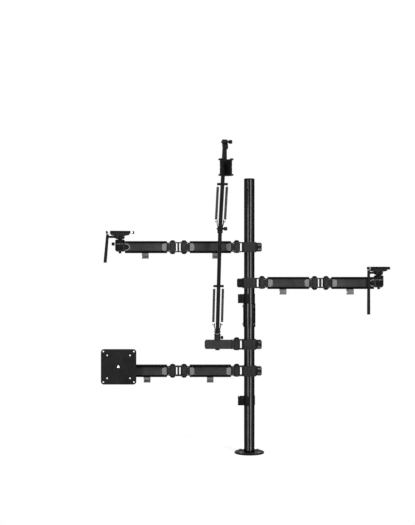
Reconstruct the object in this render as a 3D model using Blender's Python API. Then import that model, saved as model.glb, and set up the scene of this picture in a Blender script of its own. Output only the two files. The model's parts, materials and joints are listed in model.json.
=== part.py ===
# Desk pole stand with four boom arms, in metres, +Z up.
# The origin is the centre of the base flange's underside, X runs to the right and Y away from the viewer.
# Every arm is drawn pointing along +X from the pole, and its collar is turned to the arm's heading.

import math

import bmesh
import bpy
from mathutils import Matrix, Vector

# Gaps between pieces
seat_gap = 0.0003
turning_gap = 0.0004

# How far one form sinks into another before they are joined, and how far a cutter runs past what it cuts
overlap = 0.001
past = 0.010

# Pole and base
pole_diameter = 0.035
pole_wall = 0.0025
pole_bore = pole_diameter - 2 * pole_wall
pole_top = 0.912
pole_joint_height = 0.458
flange_diameter = 0.098
flange_thickness = 0.005
flange_rim = 0.0015
flange_boss_height = 0.014
flange_screw_offset = 0.029
flange_screw_head = 0.0095
coupler_wall = 0.0027
coupler_diameter = pole_diameter + 2 * (seat_gap + coupler_wall)
coupler_length = 0.078
coupler_screw_angles = (-45, 75, 195)
coupler_screw_inset = 0.010
coupler_screw_head = 0.008
cap_height = 0.004
cap_plug_length = 0.016
screw_head_rise = 0.0022

# Cable clips on the pole
pole_clip_heights = {"upper": 0.513, "lower": 0.174}
pole_clip_height = 0.032
pole_clip_wall = 0.0024
pole_clip_loop = 0.019
pole_clip_mouth = 0.004
pole_clip_wrap = (15, 258)

# Collars that clamp on the pole
collar_height = 0.034
collar_face_margin = 0.0015
collar_face_width = pole_diameter + 2 * collar_face_margin
collar_step = 0.004
collar_wall = 0.004
collar_depth = pole_diameter / 2 + collar_wall
collar_web_wall = 0.0075
collar_web_reach = pole_diameter / 2 + collar_web_wall
collar_web_width = 0.018
ear_length = 0.0235
ear_reach = pole_diameter / 2 + ear_length
ear_height = 0.0295
ear_thickness = 0.011
ear_slit = 0.002
ear_corner = 0.005
clamp_screw_diameter = 0.005
clamp_screw_head = 0.008
clamp_screw_spread = 0.0075
clamp_nut_height = 0.003

# Pivots shared by every arm
pivot_standoff = 0.017
pivot_reach = collar_web_reach + pivot_standoff
plate_thickness = 0.004
plate_radius = 0.012
knuckle_radius = 0.0115
pivot_pin_diameter = 0.008
pivot_cap_diameter = 0.018
pivot_cap_height = 0.0065
pivot_cap_crown = 0.0012
pivot_cap_dome = 0.6
pivot_cap_rim = 0.0020
knuckle_bar_inset = 0.0012
edge_bevel = 0.0006

# Long arms
link_length = 0.175
elbow_spacing = 0.038
elbow_web = 0.005
tube_setback = 0.019
tube_height = 0.040
tube_width = 0.030
tube_corner = 0.004
tube_band = 0.0055
tube_panel_recess = 0.0010
neck_height = 0.031
neck_width = 0.019
end_pad_length = 0.015
end_pad_rise = 0.0006
end_pad_taper = 0.72
end_pad_knee = 0.6
link_clip_width = 0.022
link_clip_drop = 0.018
link_clip_depth = 0.024
link_clip_wall = 0.0022
link_clip_corner = 0.003
link_clip_lip = 0.0015
link_clip_slit = 0.006

# Heads at the ends of the long arms
barrel_diameter = 0.033
barrel_bottom = -0.015
tilt_barrel_top = 0.0165
screen_barrel_top = 0.010
barrel_taper = 0.006
barrel_foot = 0.0119
barrel_nut_radius = 0.0045
barrel_nut_drop = 0.006
barrel_bridge_width = 0.024
spindle_diameter = 0.012
spindle_depth = 0.022
pan_top = 0.025
pan_edge = 0.0008
pan_shoulder = 0.005
tilt_height = 0.034
lug_width = 0.013
lug_radius = 0.0075
cradle_ear = 0.0065
platform_low = 0.044
platform_high = 0.054
platform_length = 0.067
platform_width = 0.036
platform_corner = 0.006
platform_screw_radius = 0.002
platform_knob_radius = 0.0042
platform_knob_length = 0.004
platform_knob_overhang = 0.005
handle_gap = 0.001389
handle_diameter = 0.011
handle_neck_diameter = 0.008
handle_rise = 0.009
handle_drops = {"ring": 0.086, "camera": 0.138}
handle_leans = {"ring": 5.0, "camera": 0.0}
handle_hub_radius = 0.0038
pan_knob_drop = 0.006
pan_knob_shank = 0.0025
pan_knob_diameter = 0.011
pan_knob_length = 0.010

# Screen head
screen_tilt_reach = 0.036
screen_tilt_height = 0.0185
screen_plate_size = 0.116
screen_plate_thickness = 0.003
screen_plate_corner = 0.010
screen_hole_pitches = (0.075, 0.100)
screen_hole_diameter = 0.0052
screen_hub_radius = 0.020
screen_hub_thickness = 0.004
screen_cheek = 0.004
screen_bolt_cap = 0.0032
screen_bolt_cap_radius = 0.005
screen_stud_diameter = 0.008
screen_stud_length = 0.003

# Microphone boom
mic_arm_length = 0.064
boom_reach = pivot_reach + mic_arm_length
mic_tube_height = 0.030
mic_tube_width = 0.026
mic_tube_overhang = 0.040
mic_tube_end = boom_reach + mic_tube_overhang
mic_tube_plug = 0.0025
boom_socket_radius = 0.0105
boom_socket_top = 0.030
lock_shank = 0.002
lock_radius = 0.0055
lock_length = 0.008
boom_spindle_diameter = 0.011
boom_nut_height = 0.004
boom_washer = 0.0025
boom_yaw = 5.3
boom_pivot_height = 0.042
lower_boom_length = 0.350
upper_boom_length = 0.300
lower_boom_lean = 14.0
upper_boom_lean = 27.6
boom_tube = 0.0115
boom_end_radius = 0.0075
boom_cheek = 0.0022
boom_bolt_diameter = 0.005
boom_bolt_end = 0.0028
boom_saddle = 0.0055
fork_depth = 0.012
fork_waist = 0.005
fork_top = 0.005
spring_spread = 0.0145
spring_anchor_height = 0.0235
spring_bar_height = 0.157
spring_bar_size = 0.007
spring_pin_diameter = 0.003
spring_pin_end = 0.0025
spring_lead = 0.004
spring_coil_low = 0.045
spring_coil_high = 0.147
spring_diameter = 0.0085
spring_wire = 0.0018
spring_curls = 9
spring_points_per_curl = 8
boom_knob_diameter = 0.012
boom_knob_length = 0.015
boom_knob_neck = 0.004
boom_knob_neck_radius = 0.0036

# Microphone clip, which hangs below the boom's top joint
clip_drop = 0.082
clip_forward = 0.034
clip_bore = 0.033
clip_wall = 0.0026
clip_length = 0.052
clip_flange_diameter = 0.047
clip_flange_thickness = 0.004
clip_mouth = 0.024
clip_stem_width = 0.010
clip_stem_depth = 0.0055
clip_bridge_front = -0.021
clip_bridge_back = -0.013
clip_bridge_top = -0.012
clip_bridge_bottom = -0.024

# Where the collars stand on the pole
ring_collar_height = 0.684
camera_collar_height = 0.565
mic_collar_height = 0.361
screen_collar_height = 0.273

# How far the two tilting heads are turned from straight ahead, in degrees
ring_head_turn = 15.0
camera_head_turn = 31.0

# The handle hangs clear of the link's side, and the platform's side screws reach past it
handle_clear = tube_width / 2 + handle_diameter / 2 + handle_gap
handle_offset = handle_clear / math.sin(math.radians(camera_head_turn))
platform_knob_reach = handle_offset + platform_knob_overhang

# Where the lead clips hang, measured along each link from its pivot
link_clip_places = {"ring": (0.070, 0.091), "camera": (0.070, 0.080), "screen": (0.088, 0.085)}

# Facets round a turned shape
smooth = 28
fine = 18
medium = 12
coarse = 8
odd = 15  # a bore with a flat, not a corner, where a smaller hole meets it

# Points nearer than this after a union are one point
weld_distance = 0.000004

# Degrees: faces that meet at less than the first are one face, at more than the second a sharp edge
flat_angle = 0.2
sharp_angle = 35.0

finishes = {
    "pole": ((0.012, 0.012, 0.013), 0.22, 0.0),
    "powder": ((0.035, 0.035, 0.037), 0.55, 0.0),
    "plastic": ((0.022, 0.022, 0.023), 0.45, 0.0),
    "grey_plastic": ((0.235, 0.235, 0.240), 0.60, 0.0),
    "dark_steel": ((0.050, 0.050, 0.052), 0.35, 0.9),
    "rubber": ((0.018, 0.018, 0.018), 0.80, 0.0),
}


def clear_scene():
    for thing in list(bpy.data.objects):
        bpy.data.objects.remove(thing, do_unlink=True)


def finish_material(name, finish):
    colour, roughness, metallic = finishes[finish]
    material = bpy.data.materials.new(name + "_" + finish)
    material.use_nodes = True
    shader = material.node_tree.nodes["Principled BSDF"]
    shader.inputs["Base Color"].default_value = (*colour, 1.0)
    shader.inputs["Roughness"].default_value = roughness
    shader.inputs["Metallic"].default_value = metallic
    return material


def body(name, parent=None, at=(0.0, 0.0, 0.0), turn=(0.0, 0.0, 0.0)):
    """An empty on a joint's axis, which carries the pieces of one moving body."""
    empty = bpy.data.objects.new(name, None)
    empty.empty_display_size = pole_diameter
    empty.parent = parent
    empty.location = at
    empty.rotation_euler = [math.radians(angle) for angle in turn]
    bpy.context.collection.objects.link(empty)
    return empty


def form_mesh(name, form):
    bmesh.ops.recalc_face_normals(form, faces=form.faces)
    mesh = bpy.data.meshes.new(name)
    form.to_mesh(mesh)
    form.free()
    return mesh


def box(low, high):
    form = bmesh.new()
    bmesh.ops.create_cube(form, size=1.0)
    for vertex in form.verts:
        vertex.co = Vector([a + (b - a) * (c + 0.5) for a, b, c in zip(low, high, vertex.co)])
    return form


def slab(outline, low, high, axis="Z"):
    """The outline's (u, v) points, extruded from low to high along an axis: u, v are the other two."""
    orders = {"X": lambda u, v, h: (h, u, v), "Y": lambda u, v, h: (u, h, v), "Z": lambda u, v, h: (u, v, h)}
    place = orders[axis]
    form = bmesh.new()
    corners = [form.verts.new(place(u, v, low)) for u, v in outline]
    face = form.faces.new(corners)
    grown = bmesh.ops.extrude_face_region(form, geom=[face])["geom"]
    raised = [item for item in grown if isinstance(item, bmesh.types.BMVert)]
    bmesh.ops.translate(form, vec=Vector(place(0.0, 0.0, high - low)), verts=raised)
    return form


def turned(profile, steps=medium, at=(0.0, 0.0, 0.0), axis="Z"):
    """The (radius, height) profile turned round an axis through a point."""
    form = bmesh.new()
    points = [form.verts.new((radius, 0.0, height)) for radius, height in profile]
    lines = [form.edges.new(pair) for pair in zip(points, points[1:])]
    still, up = (0, 0, 0), (0, 0, 1)
    bmesh.ops.spin(form, geom=points + lines, cent=still, axis=up, dvec=still, angle=2 * math.pi, steps=steps)
    bmesh.ops.remove_doubles(form, verts=form.verts, dist=weld_distance / 4)
    quarter = math.pi / 2
    tips = {"X": Matrix.Rotation(quarter, 4, "Y"), "Y": Matrix.Rotation(-quarter, 4, "X"), "Z": Matrix()}
    bmesh.ops.transform(form, matrix=Matrix.Translation(at) @ tips[axis], verts=form.verts)
    return form


def rod(radius, low, high, steps=medium, at=(0.0, 0.0, 0.0), axis="Z", bevel=0.0):
    if bevel:
        profile = [(0, low), (radius - bevel, low), (radius, low + bevel)]
        profile += [(radius, high - bevel), (radius - bevel, high), (0, high)]
    else:
        profile = [(0, low), (radius, low), (radius, high), (0, high)]
    return turned(profile, steps, at, axis)


def hole(radius, low, high, steps=medium, at=(0.0, 0.0, 0.0), axis="Z"):
    """A round cutter whose flats, not its corners, stand at the radius, so that a round pin fits in it."""
    return rod(radius / math.cos(math.pi / steps), low, high, steps, at, axis)


def arc(centre, radius, start, end, steps):
    """Points on an arc, with its angles in degrees."""
    angles = [math.radians(start + (end - start) * i / steps) for i in range(steps + 1)]
    return [(centre[0] + radius * math.cos(a), centre[1] + radius * math.sin(a)) for a in angles]


def rounded(width, height, corner, steps=3, centre=(0.0, 0.0)):
    """A rectangle's outline with round corners."""
    x, y = width / 2 - corner, height / 2 - corner
    outline = []
    for i, (sx, sy) in enumerate(((1, 1), (-1, 1), (-1, -1), (1, -1))):
        outline += arc((centre[0] + sx * x, centre[1] + sy * y), corner, 90 * i, 90 * i + 90, steps)
    return outline


def moved(form, by=(0.0, 0.0, 0.0), turn=0.0, axis="Z"):
    """The form turned about an axis through the origin, in degrees, and then moved."""
    place = Matrix.Translation(by) @ Matrix.Rotation(math.radians(turn), 4, axis)
    bmesh.ops.transform(form, matrix=place, verts=form.verts)
    return form


def shown(name, mesh, finish, carrier):
    mesh.materials.clear()
    mesh.materials.append(finish_material(name, finish))
    mesh.shade_smooth()
    mesh.set_sharp_from_angle(angle=math.radians(sharp_angle))
    thing = bpy.data.objects.new(name, mesh)
    thing.parent = carrier
    bpy.context.collection.objects.link(thing)
    return thing


def join_flat_faces(mesh):
    """Joins the faces that a cut or a union split on one plane, and closes slivers."""
    form = bmesh.new()
    form.from_mesh(mesh)
    bmesh.ops.remove_doubles(form, verts=form.verts, dist=weld_distance)
    bmesh.ops.dissolve_degenerate(form, edges=form.edges, dist=weld_distance)
    bmesh.ops.dissolve_limit(form, angle_limit=math.radians(flat_angle), verts=form.verts, edges=form.edges)
    bmesh.ops.triangulate(form, faces=form.faces, quad_method="BEAUTY", ngon_method="EAR_CLIP")
    form.to_mesh(mesh)
    form.free()


def piece(name, finish, carrier, adds, cuts=()):
    """One solid: the first form, with the others joined to it and the cuts taken out."""
    whole = bpy.data.objects.new(name + "_raw", form_mesh(name, adds[0]))
    bpy.context.collection.objects.link(whole)
    helpers = []
    for operation, forms in (("UNION", adds[1:]), ("DIFFERENCE", cuts)):
        for form in forms:
            helper = bpy.data.objects.new(name + "_form", form_mesh(name + "_form", form))
            bpy.context.collection.objects.link(helper)
            modifier = whole.modifiers.new(operation.title(), "BOOLEAN")
            modifier.operation = operation
            modifier.solver = "EXACT"
            modifier.object = helper
            helpers.append(helper)
    graph = bpy.context.evaluated_depsgraph_get()
    mesh = bpy.data.meshes.new_from_object(whole.evaluated_get(graph))
    for thing in [whole, *helpers]:
        bpy.data.objects.remove(thing, do_unlink=True)
    mesh.name = name
    join_flat_faces(mesh)
    return shown(name, mesh, finish, carrier)


def build_stand():
    stand = body("stand")
    radius = pole_diameter / 2
    bore = pole_bore / 2
    boss = bore - seat_gap
    rim = flange_rim
    flange = turned(
        [
            (0, 0),
            (flange_diameter / 2, 0),
            (flange_diameter / 2, flange_thickness - rim),
            (flange_diameter / 2 - rim, flange_thickness),
            (boss, flange_thickness),
            (boss, flange_boss_height),
            (0, flange_boss_height),
        ],
        smooth,
    )
    heads = []
    head = flange_screw_head / 2
    low, high = flange_thickness - overlap, flange_thickness + screw_head_rise
    for sx in (-1, 1):
        for sy in (-1, 1):
            at = (sx * flange_screw_offset, sy * flange_screw_offset, 0)
            heads.append(turned([(0, low), (head, low), (head - rim, high), (0, high)], coarse, at))
    piece("desk_flange", "powder", stand, [flange, *heads])

    def tube(name, low, high):
        profile = [(bore, low), (radius, low), (radius, high), (bore, high), (bore, low)]
        piece(name, "pole", stand, [turned(profile, smooth)])

    tube("lower_pole", flange_thickness + seat_gap, pole_joint_height)
    tube("upper_pole", pole_joint_height + seat_gap, pole_top - cap_height)

    low = pole_joint_height - coupler_length / 2
    high = pole_joint_height + coupler_length / 2
    inner, outer = radius + seat_gap, coupler_diameter / 2
    sleeve = turned([(inner, low), (outer, low), (outer, high), (inner, high), (inner, low)], smooth)
    screws = []
    for height in (low + coupler_screw_inset, high - coupler_screw_inset):
        for angle in coupler_screw_angles:
            screw = rod(coupler_screw_head / 2, outer - overlap, outer + screw_head_rise, 8, axis="X")
            screws.append(moved(screw, (0, 0, height), angle))
    piece("pole_coupler", "powder", stand, [sleeve, *screws])

    seat = pole_top - cap_height + seat_gap
    profile = [(0, seat - cap_plug_length), (boss, seat - cap_plug_length), (boss, seat), (radius, seat)]
    profile += [(radius, pole_top - rim), (radius - rim, pole_top), (0, pole_top)]
    piece("pole_cap", "plastic", stand, [turned(profile, smooth)])
    for place, height in pole_clip_heights.items():
        build_pole_clip(place + "_pole_clip", stand, height)
    return stand


def build_pole_clip(name, carrier, height):
    """A springy band round most of the pole, with a hook for leads on its left side."""
    inner = pole_diameter / 2 + seat_gap
    outer = inner + pole_clip_wall
    low, high = height - pole_clip_height / 2, height + pole_clip_height / 2
    start, end = pole_clip_wrap
    band = slab(arc((0, 0), outer, start, end, fine) + arc((0, 0), inner, end, start, fine), low, high)
    wall, side = pole_clip_wall, pole_clip_loop / 2
    near = -inner - overlap
    far = near - pole_clip_loop
    hook = box((far, -side, low + overlap), (near, side, high - overlap))
    lead_way = box((far + wall, -side + wall, low - past), (near - 2 * wall, side - wall, high + past))
    mouth_x = (far + wall, far + wall + pole_clip_mouth)
    mouth = box((mouth_x[0], side - 2 * wall, low - past), (mouth_x[1], side + wall, high + past))
    piece(name, "plastic", carrier, [band, hook], [lead_way, mouth])


def capped_pin(x, cap_seat):
    """A pivot pin at x with a low dome at each end, whose flat sides stand at the cap seat."""
    shaft, cap = pivot_pin_diameter / 2, pivot_cap_diameter / 2
    top = cap_seat + pivot_cap_height
    crown = (cap * pivot_cap_dome, -top + pivot_cap_crown)
    profile = [(0, -top), crown, (cap, -cap_seat - pivot_cap_rim), (cap, -cap_seat)]
    profile.append((shaft, -cap_seat))
    profile += [(radius, -height) for radius, height in reversed(profile)]
    return turned(profile, medium, (x, 0, 0))


def clamp_screw_places():
    """Where a collar's two clamp screws pass its ears, midway between the ears' end and the collar's face."""
    x = -(ear_reach + collar_face_width / 2 + collar_step) / 2
    return [(x, 0, side * clamp_screw_spread) for side in (-1, 1)]


def build_collar(name, carrier):
    """The two clamp halves: the rear one carries the arm's fork, and the front one the screws."""
    face, web, depth = collar_face_width / 2, collar_web_reach, collar_depth
    half_web, slit = collar_web_width / 2, ear_slit / 2
    low, high = -collar_height / 2, collar_height / 2
    shoulder, step, inside = ear_thickness + slit, face + collar_step, pole_diameter / 4
    front_web = half_web + seat_gap

    def ear(sign):
        outline = rounded(ear_reach, ear_height, ear_corner, 3, (-ear_reach / 2, 0))
        y = sorted((sign * slit, sign * shoulder))
        return slab(outline, y[0], y[1], "Y")

    def pole_way():
        return hole(pole_diameter / 2 + seat_gap, low - past, high + past, fine)

    rear_outline = [(web, half_web), (inside, half_web), (-inside, -slit), (-step, -slit), (-step, -shoulder)]
    rear_outline += [(-face, -depth), (face, -depth), (web, -half_web)]
    rear = slab(rear_outline, low, high)
    forks = []
    root = web - overlap
    for sign in (-1, 1):
        z = sorted((sign * high, sign * (high - plate_thickness)))
        outline = [(root, -plate_radius)] + arc((pivot_reach, 0), plate_radius, -90, 90, 8)
        outline += [(web + seat_gap, plate_radius), (web + seat_gap, half_web), (root, half_web)]
        forks.append(slab(outline, z[0], z[1]))
    pin_way = hole(pivot_pin_diameter / 2 + seat_gap, low - past, high + past, coarse, (pivot_reach, 0, 0))
    cuts = [pole_way(), pin_way]
    nuts = []
    head, shank = clamp_screw_head / 2, clamp_screw_diameter / 2
    for at in clamp_screw_places():
        nuts.append(rod(head, -shoulder - clamp_nut_height, -shoulder + overlap, 6, at, "Y"))
        cuts.append(hole(shank + seat_gap, -depth - past, 0, coarse, at, "Y"))
    piece(name + "_collar_rear", "powder", carrier, [rear, ear(-1), *forks, *nuts], cuts)

    front_outline = [(web, front_web), (face, depth), (-face, depth), (-step, shoulder), (-step, slit)]
    front_outline += [(-inside, slit), (inside, front_web)]
    front = slab(front_outline, low, high)
    screws = []
    rise = shoulder + screw_head_rise
    for at in clamp_screw_places():
        profile = [(0, -shoulder), (shank, -shoulder), (shank, shoulder - overlap)]
        profile += [(head, shoulder - overlap), (head, rise), (head - overlap, rise + edge_bevel)]
        profile += [(0, rise + edge_bevel)]
        screws.append(turned(profile, coarse, at, "Y"))
    piece(name + "_collar_front", "powder", carrier, [front, ear(1), *screws], [pole_way()])
    piece(name + "_pivot_bolt", "plastic", carrier, [capped_pin(pivot_reach, high + seat_gap)])


def knuckle_forms(x, half):
    """A hinge barrel at x with the short bar that ties it to its link, drawn towards +X."""
    inner = half - plate_thickness - turning_gap
    barrel = rod(knuckle_radius, -inner, inner, medium, (x, 0, 0))
    slim = neck_width / 2 - overlap
    low = inner - knuckle_bar_inset
    bar = box((x, -slim, -low), (x + tube_setback + 2 * overlap, slim, low))
    rise = neck_height / 2
    start = plate_radius + 2 * seat_gap
    neck = box((x + start, -neck_width / 2, -rise), (x + tube_setback + overlap, neck_width / 2, rise))
    return [barrel, bar, neck]


def link_tube(low, high):
    """A channel with round corners, a sunk panel along each side and a raised pad at each panel's end."""
    y, z = tube_width / 2, tube_height / 2
    sunk, floor = z - tube_band, y - tube_panel_recess
    outline = []
    for i, (sy, sz) in enumerate(((1, 1), (-1, 1), (-1, -1), (1, -1))):
        centre = (sy * (y - tube_corner), sz * (z - tube_corner))
        outline += arc(centre, tube_corner, 90 * i, 90 * i + 90, 3)
        if i in (1, 3):
            outline += [(sy * y, sz * sunk), (sy * floor, sz * sunk)]
            outline += [(sy * floor, -sz * sunk), (sy * y, -sz * sunk)]
    forms = [slab(outline, low, high, "X")]
    wide, narrow = sunk - 2 * seat_gap, sunk * end_pad_taper
    for sign in (-1, 1):
        inner, outer = sorted((sign * (floor - overlap), sign * (floor + end_pad_rise)))
        for end, along in ((low, 1), (high, -1)):
            start = end + 2 * along * seat_gap
            knee, tip = start + along * end_pad_length * end_pad_knee, start + along * end_pad_length
            pad = [(start, -wide), (knee, -wide), (tip, -narrow), (tip, narrow), (knee, wide), (start, wide)]
            forms.append(slab(pad, inner, outer, "Y"))
    return forms


def head_barrel(x, top):
    """The upright barrel at a link's far end, its nut, and the bridge that ties it to the tube."""
    radius = barrel_diameter / 2
    nut = barrel_bottom - barrel_nut_drop
    profile = [(0, nut), (barrel_nut_radius, nut), (barrel_nut_radius, barrel_bottom)]
    profile += [(barrel_foot, barrel_bottom)]
    profile += [(radius, barrel_bottom + barrel_taper), (radius, top), (0, top)]
    reach = barrel_bridge_width / 2
    low = (x - radius - 3 * overlap, -reach, barrel_bottom + overlap)
    bridge = box(low, (x - radius / 2, reach, min(top, neck_height / 2) - overlap))
    return [turned(profile, fine, (x, 0, 0)), bridge]


def build_link(name, carrier, barrel_top=None, knob_turn=0.0):
    """One link from its pivot at the origin, with a second knuckle or, given its top, a head's barrel."""
    half = collar_height / 2
    pin = pivot_pin_diameter / 2 + seat_gap
    length = link_length
    reach = half + past
    cuts = [hole(pin, -reach, reach, coarse)]
    if barrel_top is None:
        tube_end = length - tube_setback
        far_end = [moved(form, (length, 0, 0), 180) for form in knuckle_forms(0, half)]
        cuts.append(hole(pin, -reach, reach, coarse, (length, 0, 0)))
    else:
        tube_end = length - barrel_diameter / 2 - overlap
        far_end = head_barrel(length, barrel_top)
        floor = barrel_top - spindle_depth - seat_gap
        cuts.append(hole(spindle_diameter / 2 + seat_gap, floor, barrel_top + past, medium, (length, 0, 0)))
        knob_way = hole(pan_knob_shank + seat_gap, overlap, barrel_diameter, medium, axis="X")
        cuts.append(moved(knob_way, (length, 0, barrel_top - pan_knob_drop), knob_turn))
    tube = link_tube(tube_setback, tube_end)
    piece(name, "powder", carrier, [*tube, *knuckle_forms(0, half), *far_end], cuts)


def build_elbow(name, carrier):
    """Two plates and a web that hold two pivots, with the pins and their caps in place."""
    high = collar_height / 2
    plates = []
    for sign in (-1, 1):
        z = sorted((sign * high, sign * (high - plate_thickness)))
        outline = arc((elbow_spacing, 0), plate_radius, -90, 90, 8) + arc((0, 0), plate_radius, 90, 270, 8)
        plates.append(slab(outline, z[0], z[1]))
    web = elbow_web / 2
    middle = elbow_spacing / 2
    wall = box((middle - web, -plate_radius, -high + overlap), (middle + web, plate_radius, high - overlap))
    pins = [capped_pin(x, high - overlap / 2) for x in (0, elbow_spacing)]
    piece(name, "powder", carrier, [plates[0], wall, plates[1], *pins])


def build_link_clip(name, carrier, x):
    """A clip for leads that hangs below a link, open on its front side."""
    top = -tube_height / 2 - seat_gap
    depth, wall = link_clip_depth, link_clip_wall
    low = top - link_clip_drop
    centre = (0, (top + low) / 2)
    start, end = x - link_clip_width / 2, x + link_clip_width / 2
    outer = slab(rounded(depth, link_clip_drop, link_clip_corner, 2, centre), start, end, "X")
    way_outline = rounded(depth - 2 * wall, link_clip_drop - 2 * wall, link_clip_corner / 2, 2, centre)
    way = slab(way_outline, start - past, end + past, "X")
    lip = low + wall + link_clip_lip
    near, far = depth / 2 - 2 * wall, depth / 2 + wall
    slit = box((start - past, near, lip), (end + past, far, lip + link_clip_slit))
    piece(name, "grey_plastic", carrier, [outer], [way, slit])


def build_tilt_head(name, carrier, pan_turn):
    """A small tilting head: pan base, tilting cradle with its platform, and tilt handle."""
    radius, low = barrel_diameter / 2, tilt_barrel_top + seat_gap
    pan = body(name + "_pan", carrier, turn=(0, 0, pan_turn))
    spindle, foot = spindle_diameter / 2, tilt_barrel_top - spindle_depth
    profile = [(0, foot), (spindle, foot), (spindle, low), (radius - pan_edge, low), (radius, low + pan_edge)]
    profile += [(radius, pan_top - pan_shoulder), (radius - pan_shoulder, pan_top), (0, pan_top)]
    lug_foot = pan_top - overlap
    outline = [(-lug_radius, lug_foot), (lug_radius, lug_foot)] + arc((0, tilt_height), lug_radius, 0, 180, 8)
    lug = slab(outline, -lug_width / 2, lug_width / 2, "X")
    across = boom_bolt_diameter / 2 + seat_gap
    bolt_way = hole(across, -lug_width, lug_width, coarse, (0, 0, tilt_height), "X")
    piece(name + "_pan_base", "plastic", pan, [turned(profile, fine), lug], [bolt_way])

    tilt = body(name + "_tilt", pan, at=(0, 0, tilt_height))
    deck_low, deck_high = platform_low - tilt_height, platform_high - tilt_height
    deck = slab(rounded(platform_length, platform_width, platform_corner), deck_low, deck_high)
    neck, inner = platform_width / 4, lug_width / 2 + seat_gap
    ears = []
    for sign in (-1, 1):
        x = sorted((sign * inner, sign * (inner + cradle_ear)))
        outline = [(neck, deck_low + overlap), (-neck, deck_low + overlap)]
        outline += arc((0, 0), lug_radius, 200, 340, 8)
        ears.append(slab(outline, x[0], x[1], "X"))
    bolt = rod(boom_bolt_diameter / 2, -inner - overlap, inner + overlap, coarse, axis="X")
    side_screws = []
    middle = (deck_low + deck_high) / 2
    for turn in (0, 180):
        shaft = rod(platform_screw_radius, 0, platform_knob_reach - overlap, 8, (0, 0, middle), "X")
        start = platform_knob_reach - platform_knob_length
        knob = rod(platform_knob_radius, start, platform_knob_reach, coarse, (0, 0, middle), "X", edge_bevel)
        side_screws += [moved(form, turn=turn) for form in (shaft, knob)]
    piece(name + "_platform", "powder", tilt, [deck, *ears, bolt, *side_screws])

    handle = body(name + "_handle_turn", tilt)
    end, neck_radius, foot = handle_diameter / 2, handle_neck_diameter / 2, -handle_drops[name]
    profile = [(0, foot), (end - 2 * edge_bevel, foot), (end, foot + 2 * edge_bevel)]
    profile += [(neck_radius, handle_rise - edge_bevel), (neck_radius - edge_bevel, handle_rise)]
    profile += [(0, handle_rise)]
    lever = moved(moved(turned(profile, coarse), turn=handle_leans[name], axis="Y"), (-handle_offset, 0, 0))
    hub = rod(handle_hub_radius, -handle_offset, -inner - cradle_ear - seat_gap, coarse, axis="X")
    piece(name + "_handle", "rubber", handle, [lever, hub])


def build_pan_knob(name, carrier, height, side_turn):
    """The thumbscrew in the side of the barrel that locks the panning."""
    knob_body = body(name + "_turn", carrier, at=(0, 0, height), turn=(0, 0, side_turn))
    face = barrel_diameter / 2 + seat_gap + overlap
    radius, edge, shank = pan_knob_diameter / 2, 2 * edge_bevel, pan_knob_shank
    tip, end = spindle_diameter / 2 + 2 * seat_gap, face + pan_knob_length
    profile = [(0, tip), (shank, tip), (shank, face), (radius - edge, face), (radius, face + edge)]
    profile += [(radius, end - edge), (radius - edge, end), (0, end)]
    piece(name, "plastic", knob_body, [turned(profile, coarse, axis="X")])


def build_screen_head(name, carrier, turn):
    """A swivel block, a tilting bracket and a turning plate with the two usual square hole patterns."""
    radius, low = barrel_diameter / 2, screen_barrel_top + seat_gap
    swivel = body(name + "_swivel", carrier, turn=(0, 0, turn))
    spindle, foot = spindle_diameter / 2, screen_barrel_top - spindle_depth
    height, reach = screen_tilt_height, screen_tilt_reach
    top, edge = 2 * height - low, 2 * edge_bevel
    profile = [(0, foot), (spindle, foot), (spindle, low), (radius, low), (radius, top - edge)]
    profile += [(radius - edge, top), (0, top)]
    half = (top - low) / 2
    outline = [(0, low), (0, top)] + [(-y, z) for y, z in arc((reach, height), half, 90, -90, 8)]
    lug = slab(outline, -lug_width / 2, lug_width / 2, "X")
    across = boom_bolt_diameter / 2 + seat_gap
    bolt_way = hole(across, -lug_width, lug_width, coarse, (0, -reach, height), "X")
    piece(name + "_swivel_block", "plastic", swivel, [turned(profile, fine), lug], [bolt_way])

    tilt = body(name + "_tilt", swivel, at=(0, -reach, height))
    inner = lug_width / 2 + seat_gap
    outer = inner + screen_cheek
    back = -half - screen_hub_thickness
    cheeks = []
    for sign in (-1, 1):
        x = sorted((sign * inner, sign * outer))
        outline = [(back - overlap, half), (back - overlap, -half)] + arc((0, 0), half - overlap, -90, 90, 8)
        cheeks.append(slab(outline, x[0], x[1], "X"))
    end = outer + screen_bolt_cap
    bolt = rod(boom_bolt_diameter / 2, -end + overlap, end - overlap, coarse, axis="X")
    caps = []
    for x in (-end, outer):
        caps.append(rod(screen_bolt_cap_radius, x, x + screen_bolt_cap, coarse, axis="X", bevel=edge_bevel))
    hub_face = back - screen_hub_thickness
    disc = rod(screen_hub_radius, hub_face, back, medium, axis="Y", bevel=edge_bevel)
    face = hub_face - seat_gap
    stud_end = face - screen_plate_thickness - screen_stud_length
    stud = rod(screen_stud_diameter / 2, stud_end, hub_face + overlap, coarse, axis="Y")
    piece(name + "_tilt_bracket", "powder", tilt, [disc, *cheeks, bolt, *caps, stud])

    rotate = body(name + "_rotate", tilt)
    outline = rounded(screen_plate_size, screen_plate_size, screen_plate_corner)
    plate = slab(outline, face - screen_plate_thickness, face, "Y")
    start = face - screen_plate_thickness - past
    cuts = [hole(screen_stud_diameter / 2 + seat_gap, start, face + past, coarse, axis="Y")]
    for pitch in screen_hole_pitches:
        for sx in (-1, 1):
            for sz in (-1, 1):
                at = (sx * pitch / 2, 0, sz * pitch / 2)
                cuts.append(hole(screen_hole_diameter / 2, start, face + past, coarse, at, "Y"))
    piece(name + "_plate", "powder", rotate, [plate], cuts)


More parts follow.
